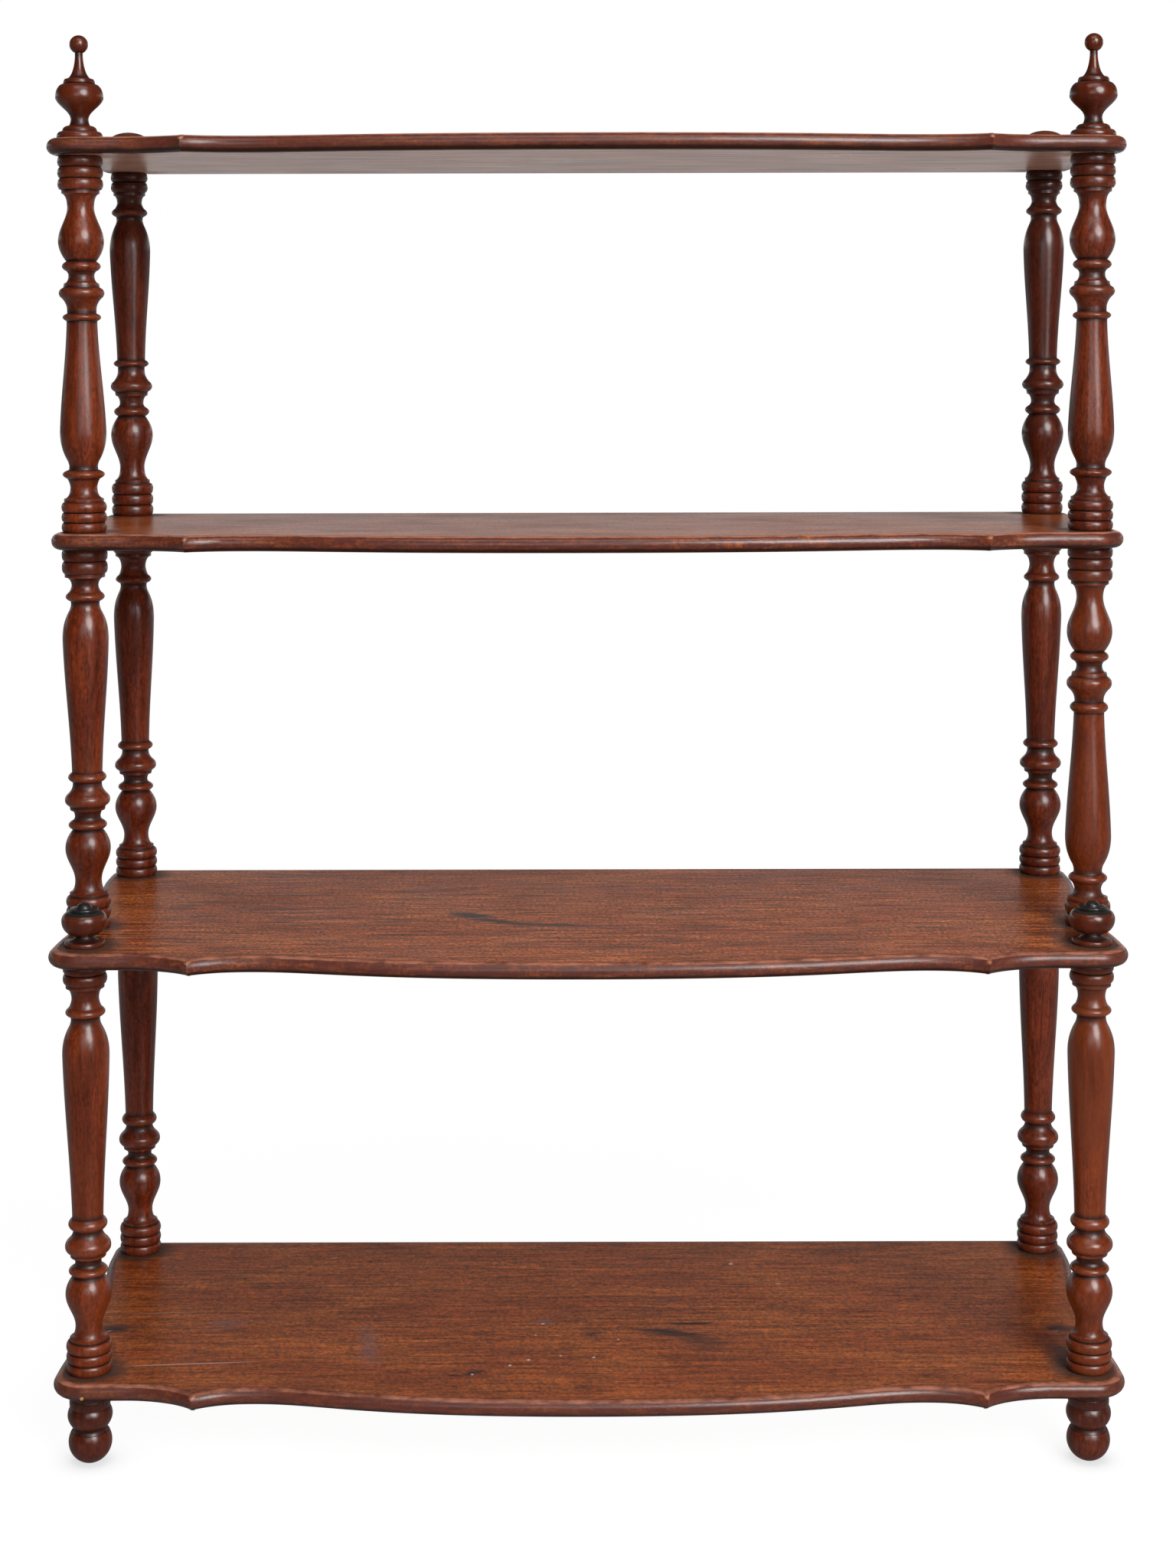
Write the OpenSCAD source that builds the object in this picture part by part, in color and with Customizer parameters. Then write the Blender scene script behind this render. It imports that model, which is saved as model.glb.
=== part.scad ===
// Four-shelf stepped etagere in turned and polished hardwood, standing on ball feet.
// It is held together by loose dowels that pass through the shelves into the posts.
// Millimetres. +X is the viewer's right, +Y the back, +Z up; the floor is at Z = 0.

/* [Shelves] */
// Width of the two upper shelves over their front corners
shelf_width = 942; // [800:1:1100]
// How much narrower the two lower shelves are, on each side
width_step = 8; // [4:1:12]
// How much narrower every shelf is at its back corners, on each side
back_width_step = 3.5; // [0:0.5:10]
// Depth of the two lower shelves, from the middle of the bow to the back edge
lower_depth = 386; // [340:1:460]
// How far the upper front posts stand behind the lower ones
step_back = 70; // [56:1:110]
// Thickness of every shelf board
shelf_t = 14.5; // [12:0.5:20]
// Overhang of an upper shelf past the middle of its front post, at the side
upper_side_over = 27.5; // [24:0.5:36]
// Overhang of a lower shelf past the middle of its front post, at the side
lower_side_over = 29.5; // [26:0.5:36]
// Overhang of every shelf past the middle of its back post, at the side
back_side_over = 27; // [24:0.5:36]
// Overhang of every shelf past the middle of its back post, at the back
back_over = 26; // [24:0.5:36]

/* [Serpentine front] */
// Reach of the middle of the bow in front of the front posts
bow_reach = 70; // [60:1:90]
// Reach of the sharp cusp in front of the front posts
cusp_reach = 56; // [50:1:64]
// Reach of the hollow between cusp and bow in front of the front posts
hollow_reach = 43; // [38:1:50]
// Reach of the rounded front corner in front of the front post
lobe_reach = 36; // [32:0.5:42]
// Distance of the cusp from the middle of the front post, towards the centre
cusp_inset = 96; // [80:1:120]
// Distance of the hollow from the cusp, towards the centre
hollow_inset = 52; // [40:1:70]
// Radius of the rounded front corners
front_corner_r = 30; // [24:1:36]
// Radius of the rounded back corners
back_corner_r = 20; // [14:1:26]
// Depth of the hollow in each side edge
side_hollow = 9; // [0:0.5:14]

/* [Heights] */
// Height of the ball feet
foot_h = 65; // [50:1:90]
// Length of the lower posts
low_post_l = 358; // [320:1:460]
// Length of the middle posts
mid_post_l = 337; // [300:1:440]
// Length of the upper posts
up_post_l = 330; // [300:1:440]

/* [Post diameters] */
// Diameter over the round beads at the base
bead_d = 39.4; // [36:0.2:44]
// How much narrower the grooves between the beads are
groove_cut = 5; // [3:0.2:6]
// How much narrower the thin fillets beside the beads are
fillet_cut = 6.4; // [4.4:0.2:7.4]
// Diameter of the neck between the base beads and the ball
neck_d = 23.2; // [20:0.2:27]
// Diameter of the ball
ball_d = 39.6; // [34:0.2:44]
// Diameter in the narrow notch on top of the ball
notch_d = 26; // [22:0.2:29]
// Diameter of the ring just above the ball
ring_low_d = 33.6; // [30:0.2:38]
// Diameter of the cove between the two lower rings
cove_d = 22.4; // [20:0.2:25]
// Diameter of the large ring
ring_mid_d = 39.4; // [34:0.2:44]
// Diameter of the throat above the large ring
throat_d = 25.4; // [22:0.2:28]
// Diameter of the small ring at the foot of the taper
ring_top_d = 33.4; // [29:0.2:37]
// Diameter of the thin end of the long taper
taper_d = 26.6; // [22:0.2:29]
// Diameter of the thick end of the long taper
bulge_d = 40.2; // [35:0.2:44]
// Diameter of that bulge on the posts at the back
back_bulge_d = 38.4; // [35:0.2:44]
// Diameter of the waist between the shoulder and the collar
waist_d = 24.8; // [22:0.2:28]
// Diameter of the collar near the head
collar_d = 34; // [31:0.2:39]
// Diameter of the neck between the collar and the head beads
head_neck_d = 23.4; // [20:0.2:27]

/* [Post heights] */
// Height of one bead at the base
bead_h = 9.7; // [8:0.1:12]
// Height of a thin fillet
fillet_h = 3.2; // [2:0.1:5]
// Height of the flare from the base fillet to the neck
flare_h = 11; // [8:0.5:15]
// Height from the neck to the middle of the ball
ball_rise = 29.5; // [24:0.5:36]
// Height from the middle of the ball to the notch
ball_fall = 17.5; // [14:0.5:22]
// Height of the ring above the ball
ring_low_h = 8.6; // [6:0.1:11]
// Height from that ring to the cove
cove_h = 3.2; // [2:0.1:6]
// Height from the cove to the crest of the large ring
ring_mid_rise = 15.4; // [12:0.1:20]
// Height from the crest of the large ring to the throat
ring_mid_fall = 14.8; // [12:0.1:19]
// Height of the small ring with the straight necks beside it
ring_top_h = 12; // [12:0.1:15]
// Height of the shoulder from the thick end of the taper to the waist
shoulder_h = 31; // [24:0.5:38]
// Height from the waist to the crest of the collar
collar_h = 6.6; // [5:0.1:8]

/* [Turner's differences between the posts] */
// Height of the rounded nose of the large ring on the upper posts
up_nose_h = 9.6; // [7:0.1:13]
// Height of the rounded nose of the large ring on the middle posts
mid_nose_h = 11.4; // [7:0.1:13]
// Height of the rounded nose of the large ring on the lower posts
low_nose_h = 13; // [7:0.1:13]
// Height of the small ring on the upper posts
up_disc_h = 6.6; // [5:0.1:12]
// Height of the small ring on the middle posts
mid_disc_h = 9; // [5:0.1:12]
// Height of the small ring on the lower posts
low_disc_h = 11.6; // [5:0.1:12]
// Beads at the head of the upper front posts
up_front_beads = 3; // [2:1:3]
// Height of one head bead on the upper front posts
up_front_bead_h = 8.8; // [7:0.1:10]
// Diameter of the head beads on the upper front posts
up_front_head_d = 39.4; // [36:0.2:44]
// Diameter of the collar on the upper front posts
up_front_collar_d = 36.6; // [31:0.2:39]
// Distance of the collar from the head end on the upper front posts
up_front_drop = 51; // [48:0.5:58]
// Length of the base turning on the upper front posts, as a share of the pattern
up_front_stretch = 1.02; // [0.9:0.01:1.1]
// Beads at the head of the upper back posts
up_back_beads = 2; // [1:1:2]
// Height of one head bead on the upper back posts
up_back_bead_h = 9.4; // [7:0.1:10]
// Diameter of the head beads on the upper back posts
up_back_head_d = 35; // [32:0.2:44]
// Distance of the collar from the head end on the upper back posts
up_back_drop = 38.5; // [36:0.5:54]
// Length of the base turning on the upper back posts, as a share of the pattern
up_back_stretch = 1.06; // [0.9:0.01:1.1]
// Beads at the head of the middle front posts
mid_front_beads = 2; // [1:1:2]
// Height of one head bead on the middle front posts
mid_front_bead_h = 11; // [7:0.1:12]
// Diameter of the head beads on the middle front posts
mid_front_head_d = 40; // [36:0.2:44]
// Distance of the collar from the head end on the middle front posts
mid_front_drop = 42.5; // [40:0.5:54]
// Length of the base turning on the upright middle front post, as a share of the pattern
mid_front_stretch = 0.97; // [0.9:0.01:1.1]
// Length of the base turning on the turned-over middle front post, as a share
mid_front_turned_stretch = 1.03; // [0.9:0.01:1.1]
// Beads at the head of the middle back posts
mid_back_beads = 2; // [1:1:2]
// Height of one head bead on the middle back posts
mid_back_bead_h = 11; // [7:0.1:12]
// Diameter of the head beads on the middle back posts
mid_back_head_d = 39; // [34:0.2:44]
// Distance of the collar from the head end on the middle back posts
mid_back_drop = 47.5; // [42:0.5:56]
// Length of the base turning on the middle back posts, as a share of the pattern
mid_back_stretch = 0.92; // [0.9:0.01:1.1]
// Beads at the head of the lower front posts
low_front_beads = 2; // [1:1:2]
// Height of one head bead on the lower front posts
low_front_bead_h = 9.2; // [7:0.1:12]
// Diameter of the head beads on the lower front posts
low_front_head_d = 37.8; // [34:0.2:44]
// Distance of the collar from the head end on the lower front posts
low_front_drop = 43; // [40:0.5:54]
// Length of the base turning on the lower front posts, as a share of the pattern
low_front_stretch = 0.94; // [0.9:0.01:1.1]
// Beads at the head of the lower back posts
low_back_beads = 2; // [1:1:2]
// Height of one head bead on the lower back posts
low_back_bead_h = 9.8; // [7:0.1:12]
// Diameter of the head beads on the lower back posts
low_back_head_d = 38; // [34:0.2:44]
// Distance of the collar from the head end on the lower back posts
low_back_drop = 46; // [42:0.5:56]
// Length of the base turning on the lower back posts, as a share of the pattern
low_back_stretch = 0.95; // [0.9:0.01:1.1]

/* [Finials] */
// Diameter of the round base of a finial
finial_base_d = 40; // [34:0.5:44]
// Height of the round base of a finial
finial_base_h = 6.6; // [4:0.1:9]
// Diameter of the rounded step on the base
finial_step_d = 30.4; // [26:0.2:33]
// Height of that step
finial_step_h = 5; // [4:0.1:9]
// Diameter of the finial's neck
finial_neck_d = 15.6; // [13:0.2:20]
// Height from the step to the middle of the neck
finial_neck_h = 6; // [4:0.1:9]
// Diameter of the finial's bulb
finial_bulb_d = 41.6; // [36:0.2:46]
// Height from the neck to the widest part of the bulb
finial_bulb_rise = 19; // [14:0.5:26]
// Height from the widest part of the bulb to its top ring
finial_bulb_fall = 11.4; // [8:0.2:16]
// Diameter of the ring on top of the bulb
finial_ring_d = 26.4; // [20:0.2:32]
// Height of that ring
finial_ring_h = 4.4; // [3:0.1:7]
// Diameter of the thin end of the spire
finial_spire_d = 6.8; // [5:0.2:9]
// Height of the hollow spire up to the ball
finial_spire_h = 22.6; // [16:0.2:34]
// Diameter of the ball on the tip
finial_tip_d = 16.2; // [12:0.2:22]

/* [Knobs and caps] */
// Diameter of the round base of a knob
knob_base_d = 34.8; // [30:0.2:38]
// Height of the base of a knob with its hollow
knob_base_h = 9.4; // [7:0.2:13]
// Diameter of the neck of a knob
knob_neck_d = 16.6; // [14:0.2:20]
// Diameter of the bulb of a knob
knob_bulb_d = 39; // [32:0.2:42]
// Height of the lower half of the bulb
knob_bulb_rise = 12.6; // [9:0.2:16]
// Height of the upper half of the bulb
knob_bulb_fall = 8; // [6:0.2:12]
// Diameter of the ring on top of the bulb
knob_ring_d = 23.6; // [18:0.2:28]
// Height of that ring
knob_ring_h = 2.4; // [1.5:0.1:4]
// Diameter of the worn nub on the very top
knob_nub_d = 13.4; // [9:0.2:16]
// Height of the worn nub
knob_nub_h = 4.8; // [3:0.1:8]
// Diameter of the domed caps over the back posts
cap_d = 39; // [34:0.5:44]
// Diameter of the hollow under a cap's dome
cap_neck_d = 30; // [24:0.5:32]
// Height of a cap's foot disc
cap_base_h = 5; // [3:0.1:8]
// Height of the hollow above it
cap_neck_h = 4.6; // [3:0.1:8]
// Height of the dome
cap_dome_h = 14.4; // [10:0.2:20]

/* [Feet] */
// Diameter of the two upper beads of a foot
foot_collar_d = 36; // [32:0.5:40]
// Diameter in the groove between the beads
foot_groove_d = 34; // [28:0.5:35]
// Diameter of the wide bead above the ball
foot_bead_d = 38.6; // [33:0.2:42]
// Height of the wide bead
foot_bead_h = 18.5; // [12:0.5:22]
// Diameter in the groove above the ball
foot_waist_d = 28; // [24:0.5:30]
// Height of the small cove between the ball and the wide bead
foot_cove_h = 3.2; // [2:0.1:5]
// Diameter of the ball
foot_ball_d = 37.4; // [33:0.2:42]
// Diameter of the worn flat that the ball stands on
foot_flat_d = 12; // [6:0.5:18]

/* [Joints] */
// Diameter of the loose dowels
dowel_d = 11; // [8:0.5:12]
// Depth of the dowel sockets in posts and feet
socket_depth = 22; // [14:0.5:26]
// Depth of the dowel sockets in finials, knobs and caps
small_socket_depth = 9; // [5:0.5:9]
// Gap all round a dowel in its hole
dowel_fit = 0.1; // [0:0.05:0.3]
// Gap left past the end of a dowel in its socket
dowel_end_gap = 0.5; // [0.3:0.1:2]
// Diameter of the brass locking pin
pin_d = 2.4; // [1.6:0.1:3.2]
// Diameter of the domed head of the locking pin
pin_head_d = 3.4; // [3.3:0.1:5]
// How far the pin reaches into its dowel
pin_bite = 3; // [1:0.5:5]
// Gap round the pin in its hole
pin_fit = 0.05; // [0:0.05:0.2]

/* [Hidden] */

// Sides of a full turn, and steps along each turned curve and shelf curve
turn_fn = 96;
bead_steps = 8;
curve_steps = 6;
taper_steps = 8;
outline_steps = 9;
edge_steps = 6;

wood_colour = [0.36, 0.16, 0.11];
shelf_colour = [0.40, 0.22, 0.17];
dowel_colour = [0.72, 0.55, 0.36];
brass_colour = [0.80, 0.62, 0.25];

// Heights of the shelves' undersides and tops, from the floor up
bottom_z = foot_h;
third_z = bottom_z + shelf_t + low_post_l;
second_z = third_z + shelf_t + mid_post_l;
top_z = second_z + shelf_t + up_post_l;

// Places of the posts, with the whole object centred on Y = 0
back_edge_y = lower_depth / 2;
back_y = back_edge_y - back_over;
low_front_y = bow_reach - lower_depth / 2;
up_front_y = low_front_y + step_back;
up_tip_x = shelf_width / 2;
low_tip_x = up_tip_x - width_step;
back_tip_x = up_tip_x - back_width_step;
up_front_x = up_tip_x - upper_side_over;
low_front_x = low_tip_x - lower_side_over;
back_x = back_tip_x - back_side_over;

// Members of a turning, each from the radius where the last one ended.
// A line goes straight, a bead swells out and comes back, a flare runs along the axis and
// turns out at its end, a settle does the reverse, a sway is a full wave, a taper is half
// a line and half a sway, a swell starts along the axis and a fade ends along it, a ridge
// has a rounded crest at half its height, blunter with more power, and an orb is part of a
// true ball.
function line(rise, d) = ["line", rise, d / 2];
function bead(rise, d) = ["bead", rise, d / 2];
function flare(rise, d) = ["flare", rise, d / 2];
function settle(rise, d) = ["settle", rise, d / 2];
function sway(rise, d) = ["sway", rise, d / 2];
function taper(rise, d) = ["taper", rise, d / 2];
function swell(rise, d, power) = ["swell", rise, d / 2, power];
function fade(rise, d, power = 1.7) = ["fade", rise, d / 2, power];
function ridge(rise, d, crest_d, power = 2) = ["ridge", rise, d / 2, crest_d / 2, power];

function orb(from_d, to_d, d) = let (a = -acos(from_d / d), b = acos(to_d / d))
    ["orb", d / 2 * (sin(b) - sin(a)), to_d / 2, d / 2, a, b];

function member_points(m, r, z) =
    let (dr = m[2] - r, h = m[1])
    m[0] == "line" ? [[m[2], z + h]] :
    m[0] == "bead" ? [for (i = [1:bead_steps]) let (t = i / bead_steps)
        [r + dr * (i == bead_steps ? 0 : sin(180 * t)), z + h * (1 - cos(180 * t)) / 2]] :
    m[0] == "flare" ? [for (i = [1:curve_steps]) let (t = 90 * i / curve_steps)
        [r + dr * (1 - cos(t)), z + h * sin(t)]] :
    m[0] == "settle" ? [for (i = [1:curve_steps]) let (t = 90 * i / curve_steps)
        [r + dr * sin(t), z + h * (1 - cos(t))]] :
    m[0] == "sway" ? [for (i = [1:2 * curve_steps]) let (t = i / (2 * curve_steps))
        [r + dr * (1 - cos(180 * t)) / 2, z + h * t]] :
    m[0] == "taper" ? [for (i = [1:taper_steps]) let (t = i / taper_steps)
        [r + dr * (t + (1 - cos(180 * t)) / 2) / 2, z + h * t]] :
    m[0] == "ridge" ? [for (i = [1:2 * curve_steps])
        let (t = i / (2 * curve_steps), foot_r = r + dr * t)
        [foot_r + (m[3] - foot_r) * (1 - pow(abs(2 * t - 1), m[4])), z + h * t]] :
    m[0] == "orb" ? [for (i = [1:2 * curve_steps])
        let (a = m[4] + (m[5] - m[4]) * i / (2 * curve_steps))
        [m[3] * cos(a), z + m[3] * (sin(a) - sin(m[4]))]] :
    [for (i = [1:curve_steps]) let (t = i / curve_steps)
        [r + dr * (m[0] == "fade" ? 1 - pow(1 - t, m[3]) : pow(t, m[3])), z + h * t]];
function turned(ms, r, z = 0, i = 0) =
    i == len(ms) ? [] :
    let (p = member_points(ms[i], r, z))
    concat(p, turned(ms, p[len(p) - 1][0], z + ms[i][1], i + 1));
function height_of(ms, i = 0) = i == len(ms) ? 0 : ms[i][1] + height_of(ms, i + 1);

module lathe(ms, d) {
    outer = turned(ms, d / 2);
    ends_in_point = outer[len(outer) - 1][0] < 0.01;
    skin = ends_in_point ? [for (i = [0:len(outer) - 2]) outer[i]] : outer;
    rotate_extrude($fn = turn_fn)
        polygon(concat([[0, 0], [d / 2, 0]], skin, [[0, height_of(ms)]]));
}

// A blind hole for a dowel, opening at height z and going up (or down with dir = -1)
module socket(z, depth, dir = 1) {
    translate([0, 0, dir > 0 ? z - 1 : z - depth])
        cylinder(h = depth + 1, d = dowel_d + 2 * dowel_fit, $fn = 48);
}

// Post members from the base up; k stretches the base turning
ring_foot_d = ring_mid_d - 5.8;
function base_members(k, nose_h, disc_h) = let (
    ring_slope_h = ring_mid_rise - nose_h / 2,
    ring_step_d = cove_d + 0.42 * (ring_mid_d - cove_d),
    ring_top_neck_h = max(0.1, (ring_top_h - disc_h) / 2))
    concat(
    [for (i = [1:3]) bead(bead_h * k, bead_d)],
    [line(0, bead_d - fillet_cut), line(fillet_h * k, bead_d - fillet_cut),
     settle(flare_h * k, neck_d),
     sway(ball_rise * k, ball_d),
     swell(ball_fall * k, notch_d, 2.1),
     ridge(ring_low_h * k, cove_d + 3, ring_low_d),
     fade(cove_h * k, cove_d),
     flare(0.65 * ring_slope_h * k, ring_step_d), line(0, ring_step_d + 0.8),
     line(0.35 * ring_slope_h * k, ring_step_d + 2),
     ridge(nose_h * k, ring_foot_d, ring_mid_d, 2.4),
     fade((ring_mid_fall - nose_h / 2) * k, throat_d, 2.1),
     line(ring_top_neck_h * k, throat_d), ridge(disc_h * k, taper_d, ring_top_d),
     line(ring_top_neck_h * k, taper_d)]);
// The head is listed from the end of the taper up
function head_members(beads, pitch, head_d, crest_d, drop) = let (
    head_fillet_d = head_d - 0.75 * fillet_cut,
    ridge_h = 1.2 * collar_h,
    gap = drop - ridge_h / 2 - fillet_h - beads * pitch)
    concat(
    [swell(0.83 * shoulder_h, waist_d + 2.6, 2.3),
     fade(0.17 * shoulder_h, waist_d),
     flare(collar_h - ridge_h / 2, waist_d + 1.2),
     ridge(ridge_h, head_neck_d + 4.6, crest_d),
     fade(0.45 * gap, head_neck_d),
     flare(0.55 * gap, head_fillet_d),
     line(fillet_h, head_fillet_d), line(0, head_d - groove_cut)],
    [for (i = [1:beads]) bead(pitch, head_d)]);

// A kind of post: its head beads, their height and diameter, its collar's diameter and
// distance from the head end, the stretch of its base turning, the heights of its large
// ring's nose and of its small ring, and the diameter of its bulge
up_front_kind = [up_front_beads, up_front_bead_h, up_front_head_d, up_front_collar_d,
    up_front_drop, up_front_stretch, up_nose_h, up_disc_h, bulge_d];
up_back_kind = [up_back_beads, up_back_bead_h, up_back_head_d, collar_d,
    up_back_drop, up_back_stretch, up_nose_h, up_disc_h, back_bulge_d];
mid_front_kind = [mid_front_beads, mid_front_bead_h, mid_front_head_d, collar_d,
    mid_front_drop, mid_front_stretch, mid_nose_h, mid_disc_h, bulge_d];
mid_front_turned_kind = [mid_front_beads, mid_front_bead_h, mid_front_head_d, collar_d,
    mid_front_drop, mid_front_turned_stretch, mid_nose_h, mid_disc_h,
    bulge_d];
mid_back_kind = [mid_back_beads, mid_back_bead_h, mid_back_head_d, collar_d,
    mid_back_drop, mid_back_stretch, mid_nose_h, mid_disc_h, back_bulge_d];
low_front_kind = [low_front_beads, low_front_bead_h, low_front_head_d, collar_d,
    low_front_drop, low_front_stretch, low_nose_h, low_disc_h, bulge_d];
low_back_kind = [low_back_beads, low_back_bead_h, low_back_head_d, collar_d,
    low_back_drop, low_back_stretch, low_nose_h, low_disc_h, back_bulge_d];

module post(l, kind) {
    base = base_members(kind[5], kind[6], kind[7]);
    head = head_members(kind[0], kind[1], kind[2], kind[3], kind[4]);
    taper_h = l - height_of(base) - height_of(head);
    difference() {
        lathe(concat(base, [taper(taper_h, kind[8])], head), bead_d - groove_cut);
        socket(0, socket_depth);
        socket(l, socket_depth, -1);
    }
}
// Stands a post on height z, with its ball end up where it is turned over
module stand_post(x, y, z, l, turned_over) {
    color(wood_colour)
        translate([x, y, turned_over ? z + l : z])
            rotate([turned_over ? 180 : 0, 0, 0]) children();
}
module upper_front_post(side) {
    stand_post(side * up_front_x, up_front_y, second_z + shelf_t, up_post_l, true)
        post(up_post_l, up_front_kind);
}
module upper_back_post(side) {
    stand_post(side * back_x, back_y, second_z + shelf_t, up_post_l, false)
        post(up_post_l, up_back_kind);
}
// Only the right one of the middle front posts is turned over
module middle_front_post(side) {
    stand_post(side * up_front_x, up_front_y, third_z + shelf_t, mid_post_l, side > 0)
        post(mid_post_l, side > 0 ? mid_front_turned_kind : mid_front_kind);
}
module middle_back_post(side) {
    stand_post(side * back_x, back_y, third_z + shelf_t, mid_post_l, false)
        post(mid_post_l, mid_back_kind);
}
module lower_front_post(side) {
    stand_post(side * low_front_x, low_front_y, bottom_z + shelf_t, low_post_l, false)
        post(low_post_l, low_front_kind);
}
module lower_back_post(side) {
    stand_post(side * back_x, back_y, bottom_z + shelf_t, low_post_l, false)
        post(low_post_l, low_back_kind);
}

// Points on a cubic curve after its start, up to its end
function curve(a, b, c, d) = [for (i = [1:outline_steps]) let (t = i / outline_steps, u = 1 - t)
    a * u * u * u + b * 3 * u * u * t + c * 3 * u * t * t + d * t * t * t];
function arc(c, r, from, to) = [for (i = [1:outline_steps])
    let (a = from + (to - from) * i / outline_steps) [c[0] + r * cos(a), c[1] + r * sin(a)]];

// Right half of a shelf's outline, from the middle of the bow round to the back edge.
// fx and fy are the middle of its front post, tip_x the side of its front corner.
function half_outline(fx, fy, tip_x) = let (
    bow = [0, fy - bow_reach],
    cusp = [fx - cusp_inset, fy - cusp_reach],
    hollow = [cusp[0] - hollow_inset, fy - hollow_reach],
    lobe_y = fy - lobe_reach,
    lobe = [tip_x - front_corner_r, lobe_y],
    tip = [tip_x, lobe_y + front_corner_r],
    back_tip = [back_tip_x, back_edge_y - back_corner_r],
    back_start = [back_tip_x, back_tip[1] - back_corner_r],
    side = [min(tip_x, back_tip_x) - side_hollow, (tip[1] + back_start[1]) / 2],
    run = side[1] - tip[1])
    concat([bow],
    curve(bow, [0.68 * hollow[0], bow[1]], [0.8 * hollow[0], hollow[1]], hollow),
    curve(hollow, hollow + [0.4 * hollow_inset, 0], cusp + [-16, 10], cusp),
    curve(cusp, cusp + [12, 13], [fx - 0.62 * cusp_inset, lobe_y + 0.5],
          [fx - 0.38 * cusp_inset, lobe_y + 0.5]),
    [lobe],
    arc([lobe[0], tip[1]], front_corner_r, -90, 0),
    curve(tip, tip + [0, 0.4 * run], side - [0, 0.4 * run], side),
    curve(side, side + [0, 0.4 * run], back_start - [0, 0.3 * run], back_start),
    [back_tip],
    arc([back_tip_x - back_corner_r, back_tip[1]], back_corner_r, 0, 90));
function mirrored(half) = concat(half,
    [for (i = [len(half) - 1:-1:1]) [-half[i][0], half[i][1]]]);

// The outline drawn in by d along its own normals, mitred at the cusps
function unit(v) = v / norm(v);
function drawn_in(pts, d) = let (n = len(pts)) [for (i = [0:n - 1]) let (
    u = unit(pts[i] - pts[(i + n - 1) % n]),
    v = unit(pts[(i + 1) % n] - pts[i]),
    nu = [-u[1], u[0]],
    nv = [-v[1], v[0]])
    pts[i] + (nu + nv) * d / (1 + nu * nv)];

// A board with this outline and a fully rounded edge
module round_edged_board(pts) {
    n = len(pts);
    r = shelf_t / 2;
    rings = [for (j = [0:edge_steps]) let (a = -90 + 180 * j / edge_steps)
        [for (p = drawn_in(pts, r * (1 - cos(a)))) [p[0], p[1], r + r * sin(a)]]];
    points = [for (ring = rings) for (p = ring) p];
    walls = [for (j = [0:edge_steps - 1]) for (i = [0:n - 1]) let (
        a = j * n + i, b = a + n, c = (j + 1) * n + (i + 1) % n, d = c - n)
        each [[a, b, c], [a, c, d]]];
    underside = [for (i = [0:n - 1]) i];
    top = [for (i = [n - 1:-1:0]) edge_steps * n + i];
    polyhedron(points, concat(walls, [underside, top]), convexity = 4);
}
// Where the dowels go through each shelf, for the right side
upper_front_place = [up_front_x, up_front_y];
lower_front_place = [low_front_x, low_front_y];
back_place = [back_x, back_y];

module dowel_hole() {
    translate([0, 0, -1])
        cylinder(h = shelf_t + 2, d = dowel_d + 2 * dowel_fit, $fn = 48);
}
module both_sides(p) {
    for (side = [-1, 1]) translate([side * p[0], p[1], 0]) children();
}
module shelf(fx, fy, tip_x, places) {
    difference() {
        round_edged_board(mirrored(half_outline(fx, fy, tip_x)));
        for (p = places) both_sides(p) dowel_hole();
    }
}
module upper_board(z) {
    color(shelf_colour) translate([0, 0, z])
        shelf(up_front_x, up_front_y, up_tip_x, [upper_front_place, back_place]);
}
module top_shelf() { upper_board(top_z); }
module second_shelf() { upper_board(second_z); }
module third_shelf() {
    color(shelf_colour) translate([0, 0, third_z])
        shelf(low_front_x, low_front_y, low_tip_x,
              [upper_front_place, lower_front_place, back_place]);
}
module bottom_shelf() {
    color(shelf_colour) difference() {
        translate([0, 0, bottom_z])
            shelf(low_front_x, low_front_y, low_tip_x, [lower_front_place, back_place]);
        pin_place() pin_bore();
    }
}

module finial(side) {
    top_steps = [
        settle(0.3 * finial_base_h, finial_base_d),
        flare(0.7 * finial_base_h, finial_step_d + 1.6),
        line(0, finial_step_d), flare(finial_step_h, finial_neck_d + 4),
        settle(finial_neck_h, finial_neck_d),
        sway(finial_bulb_rise, finial_bulb_d),
        flare(finial_bulb_fall, finial_ring_d),
        bead(0.6 * finial_ring_h, finial_ring_d + 1),
        flare(0.4 * finial_ring_h, finial_ring_d - 3.6),
        settle(finial_spire_h, finial_spire_d),
        orb(finial_spire_d, 0, finial_tip_d)];
    color(wood_colour) translate([side * up_front_x, up_front_y, top_z + shelf_t])
        difference() {
            lathe(top_steps, finial_base_d - 3);
            socket(0, small_socket_depth);
        }
}
module knob(side) {
    steps = [
        bead(0.45 * knob_base_h, knob_base_d),
        line(0, knob_base_d - 4), settle(0.55 * knob_base_h, knob_neck_d),
        settle(knob_bulb_rise, knob_bulb_d),
        flare(knob_bulb_fall, knob_ring_d),
        bead(knob_ring_h, knob_ring_d + 1),
        line(0, knob_nub_d), flare(knob_nub_h, 0)];
    color(wood_colour) translate([side * low_front_x, low_front_y, third_z + shelf_t])
        difference() {
            lathe(steps, knob_base_d - 2);
            socket(0, small_socket_depth);
        }
}
module back_cap(side) {
    steps = [
        bead(cap_base_h, cap_d),
        line(0, cap_neck_d + 3), settle(cap_neck_h, cap_neck_d),
        settle(0.35 * cap_dome_h, cap_d - 1), flare(0.65 * cap_dome_h, 0)];
    color(wood_colour) translate([side * back_x, back_y, top_z + shelf_t]) difference() {
        lathe(steps, cap_d - 2);
        socket(0, small_socket_depth);
    }
}
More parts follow.
